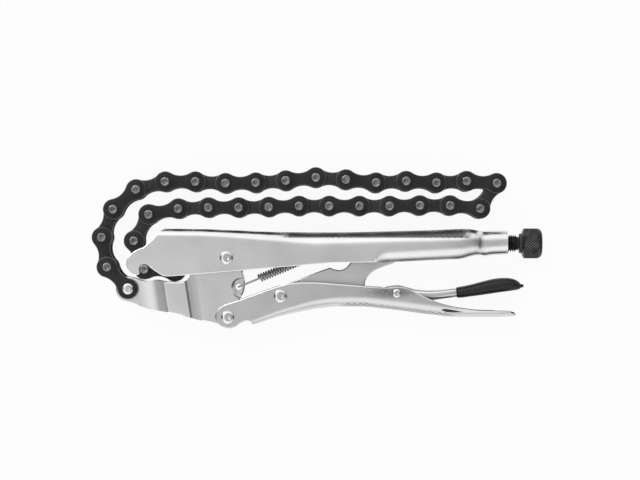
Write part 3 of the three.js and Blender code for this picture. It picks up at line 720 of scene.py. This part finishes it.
# The jaw bracket: its outline and the line of its web in pixels.
BRACKET_OUTLINE = [
    (133, 277.6), (145, 281.2), (156, 280), (166, 281.6), (184, 281.4), (190, 276), (193, 262), (201, 252),
    (213, 246.4), (226.7, 244.6), (237.6, 248), (241.4, 256), (241.8, 264), (242.4, 272), (244.2, 278),
    (244.7, 286), (243.2, 292.6), (240.4, 297.6), (238.4, 302), (238.8, 311), (238, 321), (232.5, 325.6),
    (225, 325.6), (210, 322), (198, 319.6), (186, 316), (168, 312), (150, 308.9), (132, 303), (124, 300.4),
    (118.6, 296), (116.4, 289), (118.4, 281.6), (124.6, 277),
]
BRACKET_WEB = [
    (118, 300.4), (132, 303), (150, 308.9), (168, 312), (186, 316), (198, 319.6), (210, 322), (222, 325),
]
# Column in pixels and half width in millimetres, along its stepped profile.
BRACKET_STEPS = [
    (100, 9.05), (140, 9.05), (144, 9.09), (148, 9.2), (152, 9.4), (155, 9.62), (157.5, 9.88), (160, 10.2),
    (162.5, 10.54), (164.8, 10.87), (166.2, 11.08), (167, 11.15), (187, 11.15), (187.5, 11.0), (188.2, 9.75),
    (188.8, 9.5), (190.9, 9.34), (193.4, 9.2), (196.4, 9.1), (199.4, 9.05), (270, 9.05),
]


def stepped(bm, inset):
    """The bracket's stepped body, shrunk by an inset; its steps lean across the tool."""
    slant, upright_row = 0.16, 294
    bends = ((138, 169), (185.4, 200.4))
    places = [x for low, high in bends for x in stations(BRACKET_STEPS, 0.5, low, high)]
    places = [BRACKET_STEPS[0][0], *places, BRACKET_STEPS[-1][0]]
    upper = [Vector((x_at(x), eased(BRACKET_STEPS, x, 1) - inset)) for x in places]
    line = upper + [Vector((p.x, -p.y)) for p in reversed(upper)]
    rings = []
    for y in (-FAR, FAR):
        shift = -slant * (y - y_at(upright_row))
        rings.append([Vector((p.x + shift, y, p.y)) for p in line])
    skin(bm, rings)


# Hollow is all that lies above the web or past its end.
bracket_line = curve(flat(BRACKET_OUTLINE))
web = [at(x, y) + Vector((0, BRACKET_SHEET)) for x, y in BRACKET_WEB]
beyond = x_at(370)
hollow = [Vector((LEFT, TOP)), Vector((LEFT, web[0].y)), *web, Vector((web[-1].x, BOTTOM))]
hollow += [Vector((beyond, BOTTOM)), Vector((beyond, TOP))]
inner = made(stepped, BRACKET_SHEET)
combine(inner, slab(anticlockwise(hollow)), "INTERSECT")
bracket = made(stepped, 0.0)
combine(bracket, inner, "DIFFERENCE")

# The floor that carries the spring, and its dish on both sides: radii and heights.
SPRING_FLOOR = [(8.3, -OUTER_FACE), (8.3, OUTER_FACE)]
DISH = [(3.9, 1.0), (4.3, 4.0), (4.9, 7.4), (5.8, 9.2), (5.8, 14.0)]
combine(bracket, made(turned, SPRING_FLOOR, EAR_HOLE, 48), "UNION")
for upward in (True, False):
    rows = DISH if upward else [(radius, -z) for radius, z in reversed(DISH)]
    combine(bracket, made(turned, rows, at(242.2, 287.8), 56), "DIFFERENCE")
combine(bracket, slab(bracket_line), "INTERSECT")
for centre, radius in ((EAR_HOLE, 1.6), (JAW_PIVOT, PIVOT_HOLE), (LEVER_PIVOT, PIVOT_HOLE), (CHAIN_END, 2.4)):
    combine(bracket, drill(centre, radius), "DIFFERENCE")
plane_edges(bracket, bracket_line, OUTER_FACE, start=x_at(202))
plane_edges(bracket, bracket_line, OUTER_FACE, end=x_at(138))
plane_edges(bracket, bracket_line, WALL_FACE, start=x_at(167), end=x_at(184))
plane_edges(bracket, bracket_line, DISH[0][1], 0.6, 0.3, start=x_at(236))
piece(
    bracket, "jaw_plates", NICKEL, "jaw", ["jaw_bracket"],
    angle=20, bevel=0.34, weighted=True,
)

# The lever: its outline in pixels.
LEVER_OUTLINE = [
    (215.9, 314), (218.4, 308.8), (222.8, 305.4), (230.6, 302.6), (239.8, 299.6), (256.6, 293.5),
    (276.5, 286.6), (291.8, 283), (316.6, 282.4), (349.7, 284.9), (382.9, 287.4), (391, 287.4), (397, 286.4),
    (406.8, 288), (420, 294.2), (430, 299.2), (440.7, 303.5), (453.2, 306.8), (466.4, 309), (478, 310.3),
    (510.4, 311.5), (514.6, 312.6), (516, 314.6), (514.6, 316.6), (510, 330, 1), (252.8, 330, 1),
    (252.8, 324.4, 1), (250.6, 321.6), (246.4, 320.8), (241.3, 322.4), (236.7, 325.8), (231, 328),
    (225.2, 327.4), (218.8, 323.6), (215.9, 318.6),
]
# Column and belly in pixels, radius of its fold in millimetres.
LEVER_SECTIONS = [
    (205, 340, 2.8), (247, 326.2, 2.8), (256, 323.6, 3.2), (278.8, 316.4, 4.2), (300, 311.6, 5.4),
    (320, 308, 6.2), (340, 306.4, 6.4), (360, 306.4, 6.4), (380, 308, 6.2), (405, 311, 6.2),
    (430, 314.4, 6.2), (460, 316.9, 6.2), (495, 317, 6.6), (516, 316, 6.6),
]
# Two openings in the upper wall near its tail: a long lens and one at the tip.
LENS = [(440.8, 310), (446, 311.7), (453, 312.2), (464, 311.9), (454, 310), (447, 308.8), (443, 308.6)]
MOUTH = [(510.6, 311), (513.6, 311), (516.6, 313.4), (516.6, 315.2), (513.8, 314.4), (510.6, 313)]


def lever_shell(inset, end):
    """The lever's folded bar, before its outline is cut, shrunk by an inset and ending at a column."""
    rings = []
    for x in stations(LEVER_SECTIONS, SHELL_STEP, end=end):
        belly, radius = eased(LEVER_SECTIONS, x, 1), eased(LEVER_SECTIONS, x, 2)
        low, fold = y_at(belly) + inset, max(radius - inset, 0.5)
        rings.append(rounded_section(x_at(x), low, y_at(262), WALL_FACE - inset, fold, 0.5))
    return made(skin, rings)


lever_line = curve(flat(LEVER_OUTLINE))
lever = combine(lever_shell(0, 516), slab(lever_line), "INTERSECT")
combine(lever, lever_shell(SHEET, 495), "DIFFERENCE")
combine(lever, block(LEFT, BOTTOM, -WALL_BACK, x_at(252), TOP, WALL_BACK), "DIFFERENCE")
for centre, radius in ((LEVER_PIVOT, PIVOT_HOLE), (TOGGLE_PIVOT, PIVOT_HOLE), (RELEASE_PIVOT, RELEASE_HOLE)):
    combine(lever, drill(centre, radius), "DIFFERENCE")
for opening, low in ((LENS, 0), (MOUTH, 4)):
    combine(lever, slab(anticlockwise([at(x, y) for x, y in opening]), low=low), "DIFFERENCE")
plane_edges(lever, lever_line, WALL_FACE, end=x_at(432))
piece(
    lever, "lever_shell", NICKEL_LEVER, "lever", ["lever_handle"],
    angle=20, bevel=0.32, weighted=True,
)

# The toggle link.
TOGGLE_OUTLINE = [
    (272, 292), (276, 287.4), (300, 278.6), (320, 271.2, 1), (330, 267.7, 1), (334, 269.3), (340, 270.2),
    (345.6, 268.2), (350, 263.5), (356, 254), (368, 246), (384, 238.6), (393, 236.8), (398.4, 238.2),
    (400, 242), (399, 249), (397.4, 256), (395.4, 262.3), (385, 266.4), (374.6, 270.6), (368.6, 275.6),
    (365.4, 281), (364.4, 286), (358, 290), (344, 294), (324, 297), (300, 301), (288, 304.4), (279, 305),
    (272.6, 301), (270.6, 296),
]
toggle = made(chamfered, curve(flat(TOGGLE_OUTLINE)), 2.7, 0.5, 0.22)
boss = made(turned, [(4.3, -OUTER_FACE), (4.7, -8.7), (4.7, 8.7), (4.3, OUTER_FACE)], TOGGLE_PIVOT, 48)
combine(toggle, boss, "UNION")
combine(toggle, drill(TOGGLE_PIVOT, PIVOT_HOLE), "DIFFERENCE")
piece(toggle, "toggle_plate", NICKEL_LINK, "toggle", ["toggle_link"], angle=20, weighted=True)

# The release lever and its grip: column, upper and lower edge in pixels, half thickness in millimetres.
RELEASE_SECTIONS = [
    (375, 291, 294.4, 2.6), (378, 289.2, 296, 3.4), (384, 287, 297.6, 4.0), (390, 285.6, 299.2, 4.0),
    (398, 284.9, 300.2, 4.0), (406, 286.6, 300.6, 4.0), (418, 289.6, 300.8, 4.0), (430, 290.3, 300.6, 4.0),
    (441, 289.9, 299.1, 4.0), (452, 288.6, 297.7, 4.0), (462, 287.6, 296.2, 3.8), (480, 285, 293.6, 3.4),
    (500, 281.4, 290.4, 3.2), (506, 281, 288.6, 2.8),
]
GRIP_SECTIONS = [
    (456.6, 288.3, 297.1, 4.6), (457.3, 287.7, 297.7, 5.1), (459, 287.2, 297.9, 5.4),
    (469.8, 285.1, 296.7, 5.5), (482, 282, 295.1, 5.5), (494.6, 279, 293.2, 5.5), (503, 278, 292, 5.5),
    (509, 278, 291.2, 5.4), (513.7, 278.7, 290.6, 5.0), (517.5, 280.2, 289.9, 4.3),
    (520.5, 282.4, 288.8, 3.0), (521.6, 284, 287.8, 1.5), (522.6, 284.2, 287.6, 1.5),
    (523.9, 284.5, 287.2, 1.3), (524.4, 285.2, 286.6, 0.6),
]


def bar(bm, rows, step, power, sides=40, lean=0.0):
    """A long body from its edges and half thickness; power 1 makes an ellipse of it, less is squarer."""
    rings = []
    for x in sorted(set(stations(rows, step)) | {row[0] for row in rows}):
        high, low, half = (eased(rows, x, k) for k in (1, 2, 3))
        middle, reach = (y_at(high) + y_at(low)) / 2, (y_at(high) - y_at(low)) / 2
        ring = []
        for k in range(sides):
            angle = 2 * math.pi * k / sides
            y, z = reach * softened(math.sin(angle), power), half * softened(math.cos(angle), power)
            ring.append(Vector((x_at(x) - lean * y, middle + y, z)))
        rings.append(ring)
    skin(bm, rings)


release = made(bar, RELEASE_SECTIONS, 2.0, 0.55)
combine(release, made(turned, [(3.2, -8.9), (3.2, 8.9)], RELEASE_PIVOT, 40), "UNION")
combine(release, drill(RELEASE_PIVOT, RELEASE_HOLE), "DIFFERENCE")
piece(release, "release_bar", NICKEL, "release", ["release_lever"], weighted=True)
grip = made(bar, GRIP_SECTIONS, 1.5, 0.72, lean=0.12)
piece(grip, "grip_sleeve", VINYL, "release", ["release_grip"], angle=50)


# Rivets.
def rivet(bm, centre, shank, head, seat):
    """A low domed head on each side with a small punched mark beside its middle."""
    edge, squareness = 0.15, 6
    rise = REST - edge - seat
    shares = [1.0, 0.995, 0.985, 0.97, 0.95, 0.92, 0.88, 0.82, 0.75, 0.66, 0.56, 0.46, 0.36, 0.27, 0.19]
    shares += [0.12, 0.06, 0.01]
    dome = [(head, seat)]
    dome += [(head * share, seat + edge + rise * math.sqrt(1 - share**squareness)) for share in shares]
    upper = [(shank, seat - 0.01), *dome]
    turned(bm, [(r, -z) for r, z in reversed(upper)] + upper, centre, 56)
    mark = Vector((centre.x + 0.18 * head, centre.y - 0.06 * head))
    mark_radius, mark_depth = 0.16 * head, 0.6
    for vert in bm.verts:
        reach = (vert.co.xy - mark).length / mark_radius
        if reach < 1 and abs(vert.co.z) > seat + 2 * edge:
            vert.co.z -= math.copysign(mark_depth * (1 - reach * reach), vert.co.z)


# Name, body, place, radii of shank and head, and the height of the plate under the head.
for name, body, centre, shank, head, seat in (
    ("jaw_pivot_rivet", "handle", JAW_PIVOT, 2.6, 3.5, 11.2),
    ("lever_pivot_rivet", "lever", LEVER_PIVOT, 2.6, 3.5, 11.2),
    ("toggle_rivet", "lever", TOGGLE_PIVOT, 2.6, 3.5, 11.2),
    ("release_rivet", "lever", RELEASE_PIVOT, 1.6, 2.4, 11.2),
    ("chain_end_rivet", "jaw", CHAIN_END, 2.1, 3.0, 11.4),
):
    stud = made(rivet, centre, shank, head, seat)
    piece(stud, name.replace("_rivet", "_stud"), BRIGHT, body, [name], angle=55)


# The adjusting screw and knob.
def on_screw(x, radius, angle):
    """A place round the screw's axis."""
    return Vector((x, SCREW_Y + radius * math.cos(angle), radius * math.sin(angle)))


def thread(bm):
    """The screw: a thread that fades out at both ends, and its shank into the knob."""
    sides, per_pitch, root, depth, fade_in, fade_out = 36, 10, 3.55, 0.95, 1.2, 0.6
    angles = [2 * math.pi * k / sides for k in range(sides)]
    length = THREAD_END - TIP
    count = round(length / THREAD_PITCH * per_pitch)
    rings = []
    for row in range(count + 1):
        x = TIP + length * row / count
        fade = max(0.0, min(1.0, (x - TIP) / fade_in, (THREAD_END - x) / fade_out))
        ring = []
        for k, angle in enumerate(angles):
            # A flat root, straight flanks and a flat crest.
            phase = (x / THREAD_PITCH - k / sides) % 1.0
            crest = min(1.0, max(0.0, 1.7 * abs(2 * phase - 1) - 0.3))
            ring.append(on_screw(x, root + depth * crest * fade, angle))
        rings.append(ring)
    shank, stub, shoulder = 3.5, 2.5, KNOB_FACE - 2.1
    steps = ((shank, THREAD_END + 0.1), (shank, shoulder), (stub, shoulder), (stub, KNOB_FACE + 7.0))
    for radius, x in steps:
        rings.append([on_screw(x, radius, angle) for angle in angles])
    skin(bm, rings)


def knurled_knob(bm):
    """The knob: a collar, a flared back, a knurled flank and a softly rounded end."""
    sides, rows, rounding, lead, knurl_depth = 240, 40, 2.9, 1.0, 0.34
    axis_radius, collar_back, back = 0.05, KNOB_FACE - 1.8, KNOB_FACE - 0.1
    # Radius, place and the knurl's share of its depth.
    profile = [(axis_radius, collar_back, 0), (4.9, collar_back, 0), (5.2, KNOB_FACE - 1.6, 0)]
    profile += [(5.2, KNOB_FACE - 0.5, 0), (6.2, back, 0), (7.0, back + 0.25, 0), (7.6, back + 0.6, 0)]
    for k in range(rows + 1):
        x = back + lead + (KNOB_END - rounding - back - lead) * k / rows
        profile.append((KNOB_RADIUS, x, min(1.0, k / 2)))
    for k in range(1, 7):
        turn = math.pi / 2 * k / 6
        radius = KNOB_RADIUS - rounding * (1 - math.cos(turn))
        profile.append((radius, KNOB_END - rounding * (1 - math.sin(turn)), max(0.0, 1 - k / 3)))
    profile.append((axis_radius, KNOB_END, 0))
    rings = []
    for radius, x, share in profile:
        ring = []
        for k in range(sides):
            u = k / sides * KNURL_CELLS + x / KNURL_PITCH
            v = k / sides * KNURL_CELLS - x / KNURL_PITCH
            groove = min(abs((u % 1.0) - 0.5), abs((v % 1.0) - 0.5)) * 2
            depth = knurl_depth * (1 - min(1.0, groove / 0.75)) * share
            ring.append(on_screw(x, radius - depth, 2 * math.pi * k / sides))
        rings.append(ring)
    skin(bm, rings)


piece(made(thread), "threaded_screw", SCREW, "screw", ["adjusting_screw"], angle=40)
piece(made(knurled_knob), "knurled_knob", KNOB, "knob", ["adjusting_knob"], angle=40)

# The tension spring.
COIL_RADIUS = 1.82
WIRE_RADIUS = 0.5
TURNS = 22
COIL_PITCH = 1.47
BEND_RADIUS = 1.1
TAB_GAP = 3.67
spring_length = (SPRING_FAR - EAR_HOLE).length
coil_start = spring_length - TAB_GAP - TURNS * COIL_PITCH


def on_spring(along, offset, z):
    """A place beside the line from the ear's hole to the tab."""
    p = EAR_HOLE + spring_way * along + spring_side * offset
    return Vector((p.x, p.y, z))


def spring_bend(centre, start, height=0.55, steps=6):
    """A quarter turn of the wire, square to the tool's plane."""
    turns = [start - k / steps * math.pi / 2 for k in range(steps + 1)]
    places = [(centre + BEND_RADIUS * math.cos(t), height + BEND_RADIUS * math.sin(t)) for t in turns]
    return [on_spring(along, 0, z) for along, z in places]


def spring_path(steps=24):
    """The wire's middle line: a leg through each hole, a bend at each, and the coil between them."""
    foot = COIL_RADIUS - BEND_RADIUS - 1.9
    coil = []
    for k in range(TURNS * steps + 1):
        turn = 2 * math.pi * k / steps
        along = coil_start + k / steps * COIL_PITCH
        coil.append(on_spring(along, COIL_RADIUS * math.sin(turn), COIL_RADIUS * math.cos(turn)))
    far = spring_length + 2.4
    near_bend, far_bend = spring_bend(BEND_RADIUS, math.pi), spring_bend(far - BEND_RADIUS, math.pi / 2)
    return [on_spring(0, 0, foot), *near_bend, *coil, *far_bend, on_spring(far, 0, foot)]


def tube(bm, path, radius, sides=10):
    """A round wire along a path."""
    angles = [2 * math.pi * k / sides for k in range(sides)]
    across = Vector((1, 0, 0))
    rings = []
    for i, p in enumerate(path):
        ahead = (path[min(i + 1, len(path) - 1)] - path[max(i - 1, 0)]).normalized()
        across = (across - ahead * across.dot(ahead)).normalized()
        other = ahead.cross(across)
        rings.append([p + across * radius * math.cos(t) + other * radius * math.sin(t) for t in angles])
    skin(bm, rings)


spring = made(tube, spring_path(), WIRE_RADIUS)
spring.name = spring.data.name = "spring_coil"
spring.data.materials.append(WIRE)
spring.data.transform(TO_FRAME)
smooth(spring)
spring.data.set_sharp_from_angle(angle=math.radians(60))
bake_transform(spring)
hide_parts("tension_spring")

# The chain: each link's heading in degrees, from the chain's end on and from the hook on.
UPPER_HEADINGS = [134, 100, 68, 41, 15, 0, -3, 1, 4, 6, -4, -6, 3, -3, 3, -4]
LOWER_HEADINGS = [110, 61, 11, 2, 0, 1, 2, 0, 0, 0, 1, 0]
TAIL_HEADINGS = [-4]


def walk(place, headings):
    """The pins that a run of links passes from a place on."""
    pins = [place]
    for heading in headings:
        angle = math.radians(heading)
        pins.append(pins[-1] + Vector((math.cos(angle), math.sin(angle))) * PITCH)
    return pins


upper_run, lower_run = walk(CHAIN_END, UPPER_HEADINGS), walk(HOOK, LOWER_HEADINGS)
gap = upper_run[-1] - lower_run[-1]
rise = math.sqrt(PITCH**2 - gap.length_squared / 4)
fold = (upper_run[-1] + lower_run[-1]) / 2 + Vector((gap.y, -gap.x)).normalized() * rise
pins = [*upper_run, fold, *reversed(lower_run), walk(HOOK, TAIL_HEADINGS)[1]]


def link_outline(a, b, lobe=5.45, waist=3.25):
    """A link plate's outline: a lobe round each pin and a hollow on each side."""
    half = PITCH / 2
    hollow_radius = (half**2 + waist**2 - lobe**2) / (2 * (lobe - waist))
    meet = math.atan2(waist + hollow_radius, half)
    middle = (a + b) / 2
    ahead = (b - a).normalized()
    across = Vector((-ahead.y, ahead.x))

    def arc(x, y, radius, start, end, steps):
        turns = [start + (end - start) * k / steps for k in range(steps + 1)]
        places = [(x + radius * math.cos(t), y + radius * math.sin(t)) for t in turns]
        return [middle + ahead * u + across * v for u, v in places]

    line = arc(half, 0, lobe, meet - math.pi, math.pi - meet, 28)
    line += arc(0, waist + hollow_radius, hollow_radius, -meet, meet - math.pi, 10)[1:-1]
    line += arc(-half, 0, lobe, meet, 2 * math.pi - meet, 28)
    line += arc(0, -waist - hollow_radius, hollow_radius, math.pi - meet, meet, 10)[1:-1]
    return line


def plates(bm, a, b, back, face, sides=(1, -1)):
    """A link's plates between two heights, on the sides asked for."""
    outline = link_outline(a, b)
    for side in sides:
        low, high = sorted((back * side, face * side))
        plate(bm, outline, low, high, 0.3)


def pin(bm, centre, half=REST, radius=PIN):
    """A pin with riveted ends, slightly dished in their middle."""
    upper = [(radius, half - 0.4), (radius - 0.1, half - 0.16), (radius - 0.32, half - 0.03)]
    upper += [(radius - 0.62, half), (radius - 0.8, half - 0.08), (0.05, half - 0.1)]
    turned(bm, [(r, -z) for r, z in reversed(upper)] + upper, centre, 32)


def bush(bm, centre, radius=3.8):
    """The round between an inner link's plates."""
    turned(bm, [(radius, -BUSH_HALF), (radius, BUSH_HALF)], centre, 36)


def two_pins(bm, a, b):
    """The pins that an outer link carries."""
    pin(bm, a)
    pin(bm, b)


def inner_link(bm, a, b):
    """An inner link: its plates and the rounds between them."""
    plates(bm, a, b, BUSH_HALF, INNER_FACE)
    bush(bm, a)
    bush(bm, b)


def paint_rim_highlights(obj, low=0.15, high=0.97):
    """Gives the rounded rims a lighter second material, painted highlight, picking faces by how steeply they
    slope.
    """
    for face in obj.data.polygons:
        face.material_index = int(low < abs(face.normal.z) < high)
    return obj


# Each link's own material, and the painted rim highlight.
OUTER_AND_HIGHLIGHT = (CHAIN_OUTER, CHAIN_RIM_HIGHLIGHT)
INNER_AND_HIGHLIGHT = (CHAIN_INNER, CHAIN_RIM_HIGHLIGHT)
PIN_AND_HIGHLIGHT = (PIN_END, PIN_RIM_HIGHLIGHT)
END_FACE = 11.35
for side, part in ((1, "upper"), (-1, "lower")):
    shape = paint_rim_highlights(made(plates, pins[0], pins[1], WALL_BACK, END_FACE, (side,)))
    piece(shape, f"end_plate_{part}", OUTER_AND_HIGHLIGHT, "chain_end", [f"chain_end_plate_{part}"])

for k in range(1, len(pins) - 1):
    a, b = pins[k], pins[k + 1]
    body, node = f"link_{k:02d}", f"chain_link_{k:02d}"
    if k % 2:
        shape = paint_rim_highlights(made(plates, a, b, OUTER_BACK, OUTER_FACE))
        piece(shape, f"outer_plates_{k:02d}", OUTER_AND_HIGHLIGHT, body, [node])
        shape = paint_rim_highlights(made(two_pins, a, b))
        piece(shape, f"link_pins_{k:02d}", PIN_AND_HIGHLIGHT, body)
    else:
        shape = paint_rim_highlights(made(inner_link, a, b))
        piece(shape, f"inner_plates_{k:02d}", INNER_AND_HIGHLIGHT, body, [node])

# The floor, which the camera and reflections see nearly white, the light and the camera.
bm = bmesh.new()
bmesh.ops.create_grid(bm, x_segments=1, y_segments=1, size=2.0)
floor_mesh = bpy.data.meshes.new("floor")
bm.to_mesh(floor_mesh)
bm.free()
floor = placed("floor", floor_mesh)
floor.location = (0.05, 0, 0)
material = bpy.data.materials.new("floor")
material.use_nodes = True
nodes = Nodes(material.node_tree)
shade = nodes.add("ShaderNodeBsdfDiffuse", {"Color": (0.9, 0.9, 0.9, 1)})
glow = nodes.add("ShaderNodeEmission", {"Color": (1, 1, 1, 1), "Strength": 1.0})
path = nodes.add("ShaderNodeLightPath")
seen = nodes.math("MAXIMUM", path.outputs["Is Camera Ray"], path.outputs["Is Glossy Ray"])
seen = nodes.math("MAXIMUM", seen, path.outputs["Is Transmission Ray"])
glow_share = nodes.product(seen, 0.94)
mixed = nodes.add("ShaderNodeMixShader", {0: glow_share, 1: shade.outputs[0], 2: glow.outputs[0]})
nodes.add("ShaderNodeOutputMaterial", {"Surface": mixed.outputs[0]})
floor.data.materials.append(material)

world = bpy.data.worlds.new("studio")
bpy.context.scene.world = world
world.use_nodes = True
nodes = Nodes(world.node_tree)
x, y, z = nodes.parts(nodes.add("ShaderNodeTexCoord").outputs["Generated"])
# A plain sky that darkens towards both ends, and soft boxes: one beyond the tool, one on the near side with a
# darker band near the horizon, and a narrow one to the left.
sky = nodes.product(
    nodes.span(x, -0.1, 0.1, 0.45, 0.37),
    nodes.span(x, 0.1, 0.75, 1.0, 0.15),
    nodes.span(x, -0.54, -0.36, 0.12, 1.0, smooth=True),
)
far_box = nodes.product(
    nodes.span(y, 0.1, 0.46, 0, 1, smooth=True),
    nodes.span(z, 0.14, 0.26, 0, 1, smooth=True),
)
horizon = nodes.product(nodes.span(z, 0.08, 0.14, 0, 1), nodes.span(z, 0.34, 0.44, 1, 0))
near_box = nodes.product(
    nodes.span(y, -0.1, -0.4, 0, 1, smooth=True),
    nodes.math("SUBTRACT", 1.0, nodes.product(horizon, 0.8)),
)
left_box = nodes.product(
    nodes.span(x, -0.1, -0.18, 0, 1, smooth=True),
    nodes.span(x, -0.4, -0.32, 0, 1, smooth=True),
)
boxes = nodes.math("MAXIMUM", nodes.math("MAXIMUM", far_box, near_box), left_box)
light = nodes.math("ADD", sky, nodes.product(boxes, 0.75))
background = nodes.add("ShaderNodeBackground", {"Strength": light, "Color": (1, 1, 1, 1)})
nodes.add("ShaderNodeOutputWorld", {"Surface": background.outputs[0]})

sun_data = bpy.data.lights.new("key", "SUN")
sun_data.energy = 0.6
sun_data.angle = math.radians(14)
sun = placed("key", sun_data)
sun.rotation_euler = Vector((-0.55, 0.62, 1.0)).to_track_quat("Z", "Y").to_euler()

camera_data = bpy.data.cameras.new("camera")
camera_data.sensor_width = 36.0
camera_data.lens = 158.2
camera_data.clip_start, camera_data.clip_end = 0.05, 20.0
camera = placed("camera", camera_data)
camera.location = (0.049155, 0.009333, 1.5)
bpy.context.scene.camera = camera
bpy.context.scene.view_settings.view_transform = "Standard"
